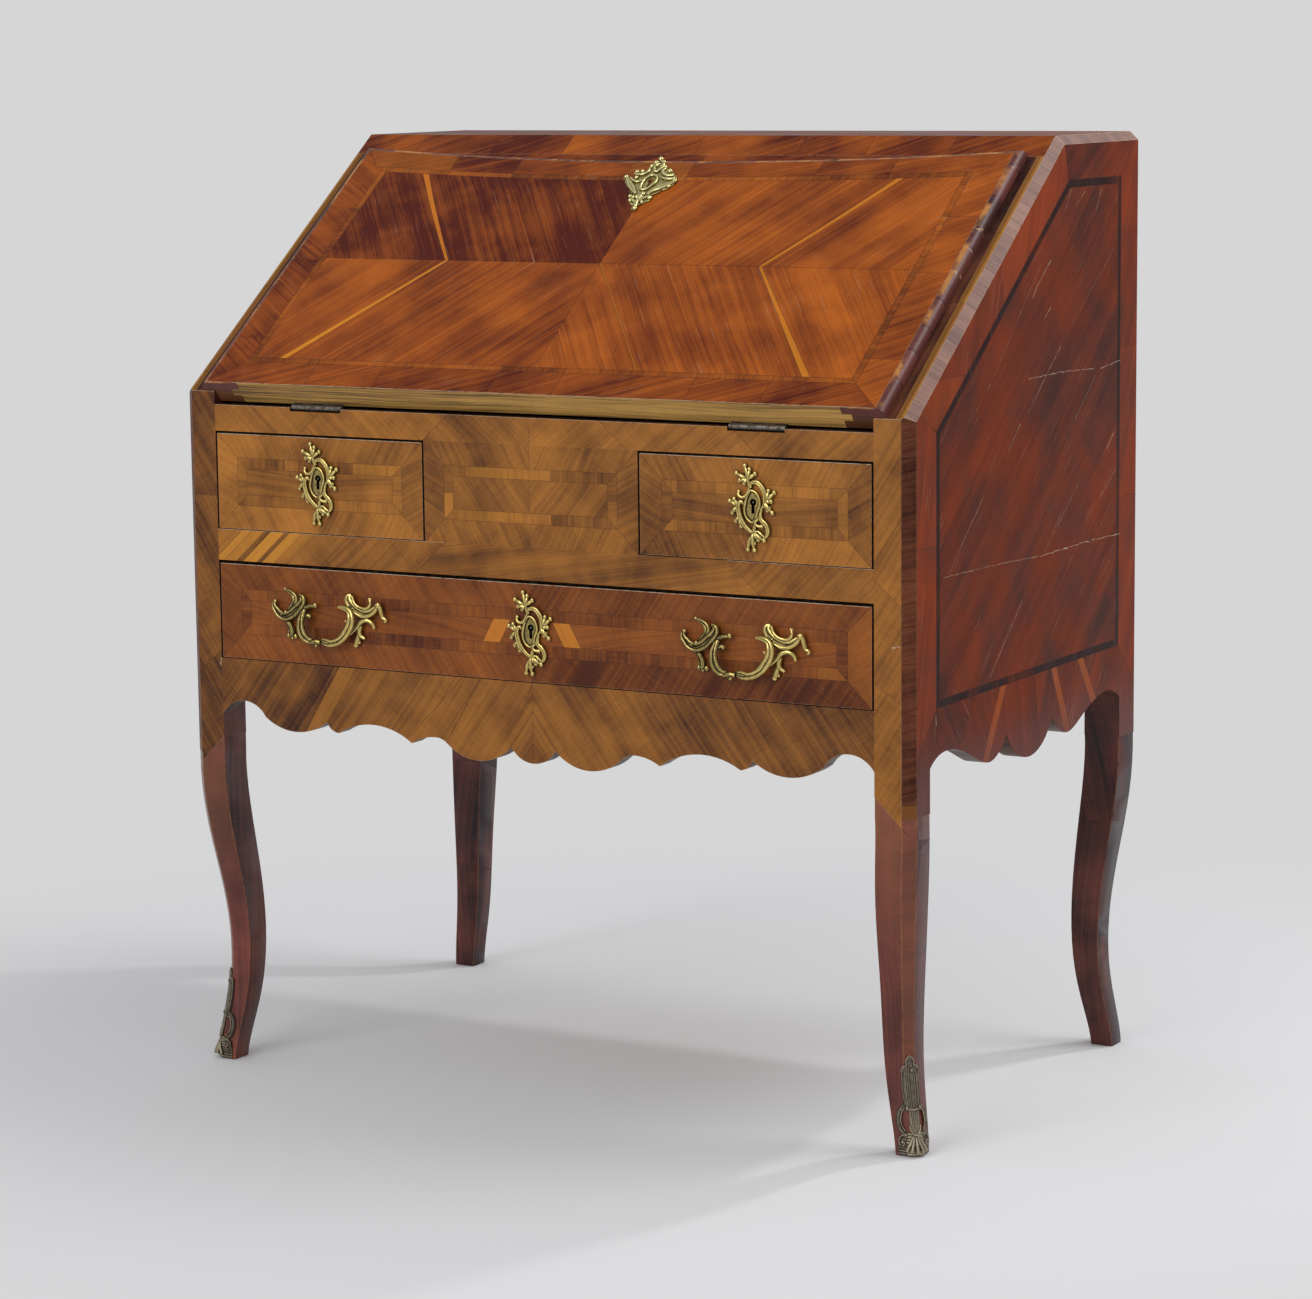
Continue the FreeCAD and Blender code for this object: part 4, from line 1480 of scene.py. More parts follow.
    def paint(self, obj: Piece, leaves: list[Leaf | None]) -> None:
        """Write the grain map and the leaf colours.

        Args:
            obj: the sheet, its inner faces selected and each face's leaf as its material index.
            leaves: the leaves by index.
        """
        mesh = obj.data
        uses: dict[tuple[int, int], int] = {}
        for polygon in mesh.polygons:
            for key in polygon.edge_keys:
                uses[key] = uses.get(key, 0) + 1
        grain, colours = leaf_layers(mesh)
        for polygon in mesh.polygons:
            leaf = leaves[polygon.material_index]
            outer = any(uses[key] == 1 for key in polygon.edge_keys)
            joint = 0.0 if polygon.select or outer or leaf.wear else 1.0
            edge = leaf.wear
            if outer and not polygon.select:
                edge = max(edge, self.layout.worn(*self.plane.local(polygon.center)))
            for loop in polygon.loop_indices:
                place = mesh.vertices[mesh.loops[loop].vertex_index].co
                grain.data[loop].uv = leaf.grain(*self.plane.local(place))
                colours.data[loop].color = (leaf.tone, leaf.sap, joint, edge)
            polygon.material_index = 0
        mesh.materials.clear()
        mesh.materials.append(self.material)


# Legs


@dataclass
class Leg:
    """A cabriole leg and post: a copy of its solid with softened edges and its own grain."""

    node: str
    material: Material
    front: Material
    round_edge: float = 0.9
    worn_top: float = 384.0
    joints: tuple[float, ...] = (LEG_JOINT_Z, 205.0)

    def build(self) -> Piece:
        """Copy the solid, soften its edges, cut its joints and map its grain.

        Returns:
            The finished leg.
        """
        obj = add_object(self.node + "_veneered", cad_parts[self.node].data.copy())
        edit(obj)
        bpy.ops.mesh.remove_doubles(threshold=SAME_POINT)
        bpy.ops.mesh.dissolve_limited(angle_limit=math.radians(0.15))
        for height in self.joints:
            for gap in (-0.45, 0.45):
                bpy.ops.mesh.select_all(action="SELECT")
                bpy.ops.mesh.bisect(plane_co=Vector(self.foot()) * MM + Vector((0.0, 0.0, (height + gap) * MM)),
                    plane_no=self.lean(), threshold=KNIFE)
        mesh = bmesh.from_edit_mesh(obj.data)
        bpy.ops.mesh.select_mode(type="EDGE")
        for edge in mesh.edges:
            middle = (edge.verts[0].co + edge.verts[1].co) / 2.0
            sharp = len(edge.link_faces) == 2 and edge.calc_face_angle(0.0) > math.radians(25.0)
            upright_edge = abs(edge.verts[0].co.z - edge.verts[1].co.z) > 0.3 * edge.calc_length()
            edge.select_set(sharp and upright_edge and middle.z < self.worn_top * MM)
        bmesh.update_edit_mesh(obj.data)
        bpy.ops.mesh.bevel(offset=self.round_edge * MM, segments=2, affect="EDGES")
        bpy.ops.mesh.select_mode(type="FACE")
        close_edit()
        hold(obj)
        bpy.ops.object.shade_smooth_by_angle(angle=math.radians(28.0))
        self.paint(obj)
        return obj

    def lean(self) -> Spot:
        """Return the direction that the joints are cut across.

        Returns:
            It, not of unit length.
        """
        if "front" not in self.node:
            return 0.0, 0.35, 1.0
        return (LEG_JOINT_LEAN if "right" in self.node else -LEG_JOINT_LEAN), 0.1, 1.0

    def foot(self) -> Spot:
        """Return the place on the floor above which the joints' heights are counted.

        Returns:
            The place, in millimetres.
        """
        if "front" not in self.node:
            return 0.0, 0.0, 0.0
        return (CHAMFER_X if "right" in self.node else -CHAMFER_X), FRONT_Y, 0.0

    def paint(self, obj: Piece) -> None:
        """Write the grain map and the leaf colours of the leg.

        Args:
            obj: the leg, its rounded edges selected.
        """
        mesh = obj.data
        mesh.materials.clear()
        for material in (self.material, self.front):
            mesh.materials.append(material)
        grain, colours = leaf_layers(mesh)
        seed = sum(ord(letter) for letter in self.node)
        for polygon in mesh.polygons:
            normal, middle = polygon.normal, polygon.center / MM
            slanted = (middle - Vector(self.foot())).dot(Vector(self.lean()))
            part = sum(slanted > height for height in self.joints)
            joint = 1.0 if any(abs(slanted - height) < 0.44 for height in self.joints) else 0.0
            front = abs(normal.y) > 0.85
            side = abs(normal.x) > 0.85
            chamfer = "front" in self.node and normal.y < -0.3 and not front and not side
            tone = 0.55 if front else 0.45 if side else 0.56 if chamfer else 0.36
            # Painted shade: the rear legs are made darker because they stand in shade.
            tone -= 0.2 if "rear" in self.node else 0.0
            lie = 4.0 if chamfer else 90.0 + (14.0 if part == 2 else -5.0 * part)
            leaf = Leaf(lie, tone, 0.14 if chamfer else 0.0, seed + part)
            edge = 0.3 if polygon.select and middle.z < 370.0 else 0.0
            upper = part == 2 and normal.y < -0.85 and "front" in self.node
            if upper:
                leaf = FrontFrame().leaf(self.foot()[0], 420.0)
            polygon.material_index = int(upper)
            for loop in polygon.loop_indices:
                place = mesh.vertices[mesh.loops[loop].vertex_index].co / MM
                flat = place.x if front else place.y if side else (place.x + place.y) * 0.7
                rise = max(0.0, min(1.0, (place.z - 170.0) / 150.0)) if front and "front" in self.node else 0.0
                rise = 0.0 if upper else rise
                grain.data[loop].uv = leaf.grain(flat, place.z)
                colours.data[loop].color = (leaf.tone + 0.05 * rise, leaf.sap + 0.2 * rise, joint, edge)


# Castings


@dataclass(frozen=True)
class Stroke:
    """A scroll of a casting: points in its plane with a lift, and a radius at start, middle and end."""

    points: Outline
    radii: Spot = (1.6, 2.2, 1.4)
    lift: float = 2.0
    swell: float = 0.0
    rise: float = 0.0
    twin: float = 0.0

    def ridges(self) -> list["Stroke"]:
        """Return the scroll itself, or two ridges that meet at its ends with a hollow between them.

        Returns:
            The scroll, or its two ridges and its lower middle.
        """
        if not self.twin:
            return [self]
        count = len(self.points) - 1
        found = []
        for side in (-1.0, 1.0):
            moved = []
            for index, (x, z) in enumerate(self.points):
                before, after = self.points[max(0, index - 1)], self.points[min(count, index + 1)]
                run, climb = after[0] - before[0], after[1] - before[1]
                size = math.hypot(run, climb) or 1.0
                gap = side * self.twin * math.sin(math.pi * index / count)
                moved.append((x - climb / size * gap, z + run / size * gap))
            found.append(Stroke(tuple(moved), self.radii, self.lift, self.swell, self.rise))
        return found + [Stroke(self.points, self.radii, self.lift - 1.1, self.swell, self.rise)]


@dataclass
class Casting:
    """A bronze mount modelled from scrolls, leaves and plates, then melted into one skin."""

    name: str
    surface: Callable[[float, float, float], Vector]
    material: Material
    strokes: list[Stroke] = field(default_factory=list)
    leaves: list[tuple[Point, Outline]] = field(default_factory=list)
    bulbs: list[tuple[float, float, float, float]] = field(default_factory=list)
    plate: Outline = ()
    plate_lift: float = 1.0
    voxel: float = 0.5
    keyhole: Point | None = None
    tall: float = 6.0
    hole_scale: float = 1.0
    middle: float = 0.0

    def sweep(self, stroke: Stroke) -> Piece:
        """Make one scroll as a tapered tube along a smooth line.

        Args:
            stroke: the scroll.
        Returns:
            Its mesh object.
        """
        curve = bpy.data.curves.new(self.name, "CURVE")
        curve.dimensions = "3D"
        curve.bevel_depth = MM
        curve.bevel_resolution = 2
        curve.resolution_u = 5
        curve.use_fill_caps = True
        spline = curve.splines.new("BEZIER")
        count = len(stroke.points)
        spline.bezier_points.add(count - 1)
        first, middle, last = stroke.radii
        for index, (x, z) in enumerate(stroke.points):
            share = index / (count - 1)
            point = spline.bezier_points[index]
            point.co = self.surface(x, z,
                stroke.lift + stroke.rise * share + stroke.swell * math.sin(math.pi * share))
            point.handle_left_type = point.handle_right_type = "AUTO"
            low, high, part = (first, middle, share * 2.0) if share < 0.5 else (middle, last, share * 2.0 - 1.0)
            point.radius = low + (high - low) * part
        hold(add_object(self.name, curve))
        bpy.ops.object.convert(target="MESH")
        return bpy.context.object

    def bulb(self, x: float, z: float, lift: float, radius: float) -> Piece:
        """Make a rounded bud and press it a little flat.

        Args:
            x, z: its place in the casting's plane.
            lift: how far it stands off.
            radius: its radius, all in millimetres.
        Returns:
            Its mesh object.
        """
        bpy.ops.object.select_all(action="DESELECT")
        bpy.ops.mesh.primitive_ico_sphere_add(subdivisions=2, radius=radius * MM,
            location=self.surface(x, z, lift))
        obj = bpy.context.object
        obj.scale = (1.0, 0.8, 1.15)
        settle(obj)
        return obj

    @staticmethod
    def web(base: Point, tips: Outline) -> Outline:
        """Return the outline of the plate under a bunch of lobes.

        Args:
            base: the point that the lobes grow from.
            tips: their ends.
        Returns:
            The outline, from the base round the lobes.
        """
        reach = [(x - base[0], z - base[1]) for x, z in tips]
        lean = math.atan2(sum(z for _, z in reach), sum(x for x, _ in reach))
        reach.sort(key=lambda part: (math.atan2(part[1], part[0]) - lean + math.pi) % (2.0 * math.pi))
        found = [(base[0] - 2.0 * math.cos(lean), base[1] - 2.0 * math.sin(lean))]
        for index, (x, z) in enumerate(reach):
            found.append((base[0] + 0.9 * x, base[1] + 0.9 * z))
            if index + 1 < len(reach):
                after = reach[index + 1]
                found.append((base[0] + 0.31 * (x + after[0]), base[1] + 0.31 * (z + after[1])))
        return tuple(found)

    def cut_out(self, outline: Sequence[Point], lift: float) -> Piece:
        """Cut a flat piece to an outline and leave it open in edit mode.

        Args:
            outline: its corners in the casting's plane.
            lift: how far it stands off.
        Returns:
            Its mesh object.
        """
        bpy.ops.object.select_all(action="DESELECT")
        bpy.ops.mesh.primitive_circle_add(vertices=len(outline), radius=0.01, fill_type="NGON")
        obj = bpy.context.object
        mesh = edit(obj)
        mesh.verts.ensure_lookup_table()
        for vert, (x, z) in zip(mesh.verts, outline):
            vert.co = self.surface(x, z, lift)
        bmesh.update_edit_mesh(obj.data)
        return obj

    def sheet(self, outline: Outline, lift: float) -> Piece:
        """Make a plate behind the scrolls from its outline, with thickness.

        Args:
            outline: its corners in the casting's plane.
            lift: how far it stands off.
        Returns:
            Its mesh object.
        """
        obj = self.cut_out(outline, lift)
        bpy.ops.mesh.normals_make_consistent(inside=False)
        close_edit()
        finish_with(obj, "SOLIDIFY", thickness=1.6 * MM, offset=0.0)
        return obj

    def build(self) -> Piece:
        """Model all parts, melt them together, smooth them and write their relief.

        Returns:
            The finished mount.
        """
        parts = [self.sweep(ridge) for stroke in self.strokes for ridge in stroke.ridges()]
        for base, tips in self.leaves:
            for tip in tips:
                middle = ((base[0] + tip[0]) / 2.0 + (tip[1] - base[1]) * 0.08, (base[1] + tip[1]) / 2.0)
                parts.append(self.sweep(Stroke((base, middle, tip), (1.7, 2.3, 1.6), 1.9, 0.9)))
                parts.append(self.bulb(tip[0], tip[1], 2.2, 2.5))
                parts.append(self.bulb(tip[0] * 0.6 + base[0] * 0.4, tip[1] * 0.6 + base[1] * 0.4, 2.6, 2.3))
            if len(tips) > 1:
                parts.append(self.sheet(self.web(base, tips), self.plate_lift))
        parts += [self.bulb(*bulb) for bulb in self.bulbs]
        if self.plate:
            parts.append(self.sheet(self.plate, self.plate_lift))
        obj = merge(self.name, parts)
        settle(obj)
        obj.data.remesh_voxel_size = self.voxel * MM
        bpy.ops.object.voxel_remesh()
        finish_with(obj, "SMOOTH", factor=0.5, iterations=3)
        hold(obj)
        bpy.ops.object.shade_smooth()
        if self.keyhole:
            self.cut_keyhole(obj)
        obj.data.materials.clear()
        obj.data.materials.append(self.material)
        self.paint(obj)
        return obj

    def cut_keyhole(self, obj: Piece) -> None:
        """Cut the keyhole through the plate.

        Args:
            obj: the melted mount.
        """
        x, z = self.keyhole
        size = self.hole_scale
        outline = [(KEYHOLE_RADIUS * math.cos(math.radians(a)),
            KEYHOLE_RADIUS * math.sin(math.radians(a))) for a in range(-60, 241, 20)]
        outline += [(-KEYHOLE_SLOT, -KEYHOLE_DROP), (KEYHOLE_SLOT, -KEYHOLE_DROP)]
        cutter = self.cut_out([(x + a * size, z + b * size) for a, b in outline], -4.0)
        bpy.ops.mesh.extrude_region_move(TRANSFORM_OT_translate={"value": self.surface(x, z,
            16.0) - self.surface(x, z, 0.0)})
        bpy.ops.mesh.select_all(action="SELECT")
        bpy.ops.mesh.normals_make_consistent(inside=False)
        close_edit()
        finish_with(obj, "BOOLEAN", object=cutter, operation="DIFFERENCE", solver="EXACT")
        bpy.data.objects.remove(cutter)

    def paint(self, obj: Piece) -> None:
        """Write each point's relief for the patina: its height, its hollows and which way it faces, so that
        hollows get patina and painted shade and outward faces painted light.

        Args:
            obj: the finished mount.
        """
        out = (self.surface(0.0, self.middle, 1.0) - self.surface(0.0, self.middle, 0.0)).normalized()
        base = out.dot(self.surface(0.0, self.middle, 0.0))
        mesh = bmesh.new()
        mesh.from_mesh(obj.data)
        values = []
        for vert in mesh.verts:
            hollow = 0.0
            for edge in vert.link_edges:
                away = edge.other_vert(vert).co - vert.co
                hollow += away.normalized().dot(vert.normal) / len(vert.link_edges)
            height = max(0.0, min(1.0, (vert.co.dot(out) - base) / MM / self.tall))
            # Painted light and shade: faces turned outwards are lifted as painted light, and hollows are
            # darkened for patina and painted shade.
            values.append(0.25 * height + 0.45 * max(0.0, vert.normal.dot(out)) - 0.1 - 3.2 * hollow)
        mesh.free()
        relief = obj.data.attributes.new("relief", "FLOAT", "POINT")
        for value, item in zip(values, relief.data):
            item.value = max(0.0, min(1.0, value))


DRAWER_SCROLLS = [
    Stroke(((-1.4, 14.6), (-1.8, 18), (1.8, 19.9), (6, 19.6), (10.3, 16.1), (13.8, 9.9), (14.2, 3.1),
        (12.4, -3.1), (9.9, -5)), (1.3, 1.6, 1.2), 2.4, 1, twin=1.1),
    Stroke(((-9.9, -1.9), (-12.1, 0.3), (-14.9, -1.9), (-15.2, -6.8), (-13.8, -13), (-10.3, -19.9),
        (-5.3, -25.5), (1.1, -29.2), (6, -28)), (1.3, 1.6, 1.2), 2.4, 1, twin=1.1),
    Stroke(((-2.5, 11.8), (2.5, 10.6), (6.7, 5.6), (7.8, -1.9), (5.3, -8.7), (3.2, -16.1), (-1, -19.9)),
        (1.2, 1.4, 1.1), 2.3),
    Stroke(((-2.5, 11.8), (-6, 5.6), (-8.2, -1.9), (-8.9, -8.7), (-6, -16.1), (-1, -19.9)), (1.2, 1.4, 1.1),
        2.3),
    Stroke(((-3.2, 14.3), (-5.3, 9.3), (-8.2, 5.6), (-12.4, 5), (-15.2, 7.5), (-15.2, 9.6)), (1.4, 1.8, 1.7),
        2.2, 0.8),
    Stroke(((9.9, -6.2), (8.9, -11.2), (9.6, -16.1), (13.8, -19.9), (16.7, -24.8), (16, -31), (13.1, -34.2)),
        (1.3, 1.6, 1.4), 2.3, 0.8, twin=1),
    Stroke(((8.9, -11.2), (6, -16.1), (3.2, -19.3), (5.3, -22.4), (9.6, -23)), (1.3, 1.7, 1.9), 2.2, 0.8),
    Stroke(((-2, 14), (-4, 19), (-5.3, 23.5)), (1.8, 2.2, 2.4), 2),
    Stroke(((3, -20), (2, -26), (1.8, -33)), (1.6, 2.4, 2), 2),
    Stroke(((6, -28), (9, -30.5), (12.4, -33)), (1.6, 2, 1.6), 2),
]
DRAWER_LEAVES = [
    ((-5.3, 22.4), ((-8.2, 35.7), (-17.4, 28), (-3.2, 32.3), (2.8, 28), (-13.8, 21.1), (-8.9, 18.6))),
    ((14.2, 2), ((23.8, 10.6), (17.5, 12), (20.2, 1.9), (21.6, -9.3), (16.7, -6.8))),
    ((-15.2, -4), ((-25.2, 0.6), (-20.2, 2.5), (-22.3, -10.6))),
    ((-13, -14), ((-18.4, -18.6), (-12.4, -23.6))),
    ((1.8, -29), ((-0.4, -39.1), (-5.3, -46), (1.8, -46.6), (6, -36), (12.4, -36.6))),
]
DRAWER_PLATE = ((-2.5, 11.8), (2.5, 10.6), (6.7, 5.6), (7.8, -1.9), (5.3, -8.7), (3.2, -16.1), (-1, -19.9),
    (-6, -16.1), (-8.9, -8.7), (-8.2, -1.9), (-6, 5.6))
PULL_SCROLLS = [
    Stroke(((-30.7, 7.4), (-34.7, 0), (-36.3, -8.9), (-34.2, -17.7), (-28.7, -23.6), (-21.6, -25.8),
        (-17.6, -29.1)), (2.3, 2.5, 2.1), 8, 4.5, twin=2.5),
    Stroke(((-14.5, -27.1), (-10.5, -24.6), (-4.4, -26.2), (3.6, -25.5), (13.7, -20.8), (21.8, -12.3),
        (26.4, -3.1), (26.9, 4.1), (24.8, 9.3), (17.8, 12.4), (11.7, 12.9)), (2.1, 2.5, 1.9), 8, 4.5, twin=2.3),
    Stroke(((-9.5, -22.3), (-4.4, -22.4), (1.6, -23.5), (11.7, -20), (18.8, -13.4), (22.8, -5.1), (20, 0)),
        (1.4, 1.9, 1.2), 10.5, 3),
    Stroke(((-22, -26), (-17, -25), (-12, -25.5)), (2.4, 2.6, 2.2), 12),
    Stroke(((-68.1, 14.8), (-70.1, 11.1), (-67.1, 5.1), (-59, -0.6), (-49.9, 0.8), (-40.8, 7.7), (-34.7, 14.3),
        (-33.7, 19.7), (-36.8, 22.6)), (1.8, 2.3, 2.1), 4.5, 2, twin=3.3),
    Stroke(((-55.5, 27.6), (-48.9, 24.9), (-43.8, 20.8), (-42.8, 16.4), (-46.9, 9.9), (-54.9, 2.3)),
        (1.3, 1.9, 1.8), 4.5, 2, twin=1.6),
    Stroke(((-33.7, 4), (-30.7, 8.5), (-24.6, 11.4), (-17.6, 12.3)), (2.6, 2.8, 2.2), 6),
    Stroke(((-30, 0.5), (-26, 1.5), (-23.5, -0.5)), (2.6, 2.8, 2.4), 7.5),
    Stroke(((-57, -1.5), (-50.9, -9), (-47.9, -15.9), (-48.9, -21.3)), (2.8, 3.2, 2.4), 3.2),
    Stroke(((-54, -4), (-52, -11), (-51.5, -18)), (1.5, 1.5, 1.2), 3.8),
    Stroke(((27.9, 26.3), (24.3, 24.3), (25.9, 17.3), (32.9, 10.7), (45.1, 7.9), (55.2, 12.1), (60.2, 17.8)),
        (2.2, 2.4, 2.5), 4.5, 2, twin=3.2),
    Stroke(((28.5, 25.5), (31.9, 17.8), (40, 13.4), (48.1, 14.3), (51.1, 19.9), (49.6, 24.7)), (1.4, 1.8, 1.3),
        6.5, 1),
    Stroke(((58.2, 18.5), (62.5, 15.5), (64.2, 10.1), (66.3, 4.8), (69.8, 2.4), (67.8, 0.5)), (3, 2.4, 1.6), 5),
    Stroke(((22, -16.5), (28, -12), (33.9, -7), (39, -1.4), (46.1, 0.9), (53.1, -2.2), (55.2, -7.4)),
        (2, 3, 1.7), 4, 1.5),
    Stroke(((38, -4), (37, -13.9), (43.5, -18.9)), (3.2, 3, 1.8), 3.6),
    Stroke(((37, -12), (34.5, -19), (32.9, -24)), (2.6, 3, 3.4), 3.4),
    Stroke(((45, 0.5), (44.5, 4.5), (45.1, 8)), (2.2, 2.2, 2.4), 3.8),
    Stroke(((26, 8), (28.5, 12), (31, 13)), (2.4, 2.4, 2.4), 5.5),
    Stroke(((-37, 9), (-34.5, 5), (-33.5, 2)), (2.6, 2.8, 2.6), 5.5),
]
PULL_BULBS = [(-52.4, -21.1, 3, 2.6), (-43.8, -21.4, 3, 2.6), (-48, -23, 2.6, 2.2), (-18, 12.6, 6, 2.8),
    (32, -25.5, 3.2, 3), (35.5, -22.5, 3.2, 2.6), (60.5, 17, 5.5, 3.4), (51.5, 23, 6, 1.8),
    (-17.6, -29, 9, 2.2), (-55.5, 27.6, 4.8, 1.7), (-68.6, 14, 5, 2.2), (-60, 2, 6.5, 2.6), (-55, 3.2, 7, 2.4),
    (69, 1.6, 4.6, 1.9)]
FALL_PLATE = ((-3.6, 38.9), (2, 34), (8.8, 23.5), (13.4, 17.8), (17.2, 18.3), (21.9, 13), (28.8, 5.8),
    (31.2, -1.4), (29.1, -7), (25.3, -12.7), (19.6, -15.2), (16.8, -19.3), (11.1, -23.3), (14.1, -27.3),
    (13.4, -32.1), (9.3, -34.6), (7.3, -37.8), (3.9, -37.9), (2.5, -41.1), (4.2, -47.4), (1.9, -49.9),
    (-2.1, -47.6), (-3.5, -42), (-8.8, -37.3), (-11.4, -30.9), (-15, -26.9), (-9.9, -22.8), (-15.4, -19.7),
    (-20.6, -13.3), (-24.8, -9.3), (-30.4, -2.1), (-33.5, 5.2), (-30.8, 7.6), (-26, 6.1), (-21.5, 1.2),
    (-20.8, 6.1), (-24.9, 12.6), (-22.7, 16.7), (-16.3, 16.7), (-12.5, 13.5), (-11.1, 19.2), (-11.1, 25.7),
    (-7, 25.8), (-8.3, 29.8), (-6.5, 32.3), (-5.3, 34.8))
FALL_BULBS = [(-3.6, 36, 2.2, 2.8), (16.6, 15.6, 2.2, 2.8), (29, -1, 2.2, 2.6), (26, -9.6, 2.2, 2.2),
    (12, -29.6, 2.2, 2.6), (2, -47, 2.2, 2.6), (-9.4, -34, 2.2, 2.4), (-12.6, -27, 2.2, 2.2),
    (-31.6, 4.6, 2.2, 2.8), (-22.6, 13.6, 2.2, 2.6), (-16.4, 15, 2.2, 2.2), (-9.4, 24, 2.2, 2.2),
    (-6.6, 30, 2.4, 2.2), (2.4, 30.6, 2.4, 2.4), (8.4, 21.6, 2.4, 2.2), (5.6, -36, 2.2, 2), (-1, -41, 2.4, 2.2),
    (-2.6, 25, 2.8, 2.6), (3.4, 22.6, 2.8, 2.2), (1.8, -24, 2.8, 2.6), (-3.2, -29, 2.8, 2.4),
    (4.6, -30, 2.8, 2.2), (-19, 4, 2.6, 2.2), (18, 2, 2.6, 2.2)]
FALL_SCROLLS = [
    Stroke(((-30.6, 4), (-25, -3), (-18, -11), (-12, -18), (-8, -22)), (1.5, 1.9, 1.4), 2.4, 0.6, twin=1.4),
    Stroke(((29.6, -2), (24, -8), (17, -13), (10, -18), (7, -23)), (1.5, 1.9, 1.4), 2.4, 0.6, twin=1.4),
    Stroke(((24, 9), (17, 8), (11, 11), (8, 16), (9, 20)), (1.6, 1.9, 1.4), 2.4, 0.6),
    Stroke(((28, 4), (22, 2), (15, 3), (11, 5)), (1.4, 1.7, 1.3), 2.4, 0.6),
    Stroke(((-24, 11), (-17, 9), (-12, 10), (-9, 15), (-9.5, 21)), (1.6, 1.9, 1.4), 2.4, 0.6),
    Stroke(((-26, 4), (-20, -1), (-14, -3), (-10.5, 0)), (1.4, 1.7, 1.3), 2.4, 0.6),
    Stroke(((-7, 27), (-3, 19), (0, 14), (4, 18), (4, 27), (-2, 34)), (1.3, 1.7, 1.4), 2.6, 0.6),
    Stroke(((-7, -10), (-7.5, -2), (-5, 5), (0.5, 8), (6, 5), (8, -2), (6, -9), (1, -15.5), (-4, -16),
        (-7, -10)), (1.3, 1.4, 1.3), 3.2),
    Stroke(((-9, -26), (-6, -34), (0, -36), (5, -31), (11, -26)), (1.4, 1.8, 1.4), 2.4, 0.6),
    Stroke(((0, -20), (0.5, -28), (0.5, -37), (1.5, -44)), (1.6, 2.2, 1.8), 2.4, 0.8),
]

SHOE_MIDDLE = [
    Stroke(((-3.4, 31), (-2.6, 25), (0, 21.4), (2.6, 25), (3.4, 31)), (0.7, 0.9, 0.7), 2.7),
    Stroke(((-4.6, 47), (0, 45.8), (4.6, 47)), (0.9, 1.1, 0.9), 2.2),
]
SHOE_SIDE = [
    Stroke(((4.4, 51), (9, 47.5), (12.4, 41.5), (13.4, 33), (12, 26), (9, 22)), (1.8, 2.2, 2), 0.4, 0.5),
    Stroke(((4.8, 49), (8.4, 44.5), (10.4, 38), (10.4, 31), (7.6, 25)), (0.7, 0.8, 0.7), 1.6),
    Stroke(((0, 98.5), (2.6, 94.5), (2.8, 89), (5.6, 87.5), (6.2, 79), (6.3, 62), (5.2, 48)), (0.7, 0.8, 0.7),
        1.7),
    Stroke(((6, 21.6), (10.8, 20.4), (13.6, 15.8), (12, 10.6), (9.2, 12), (10.2, 15.2)), (1, 1.3, 1.2), 2.2),
]


# The desk


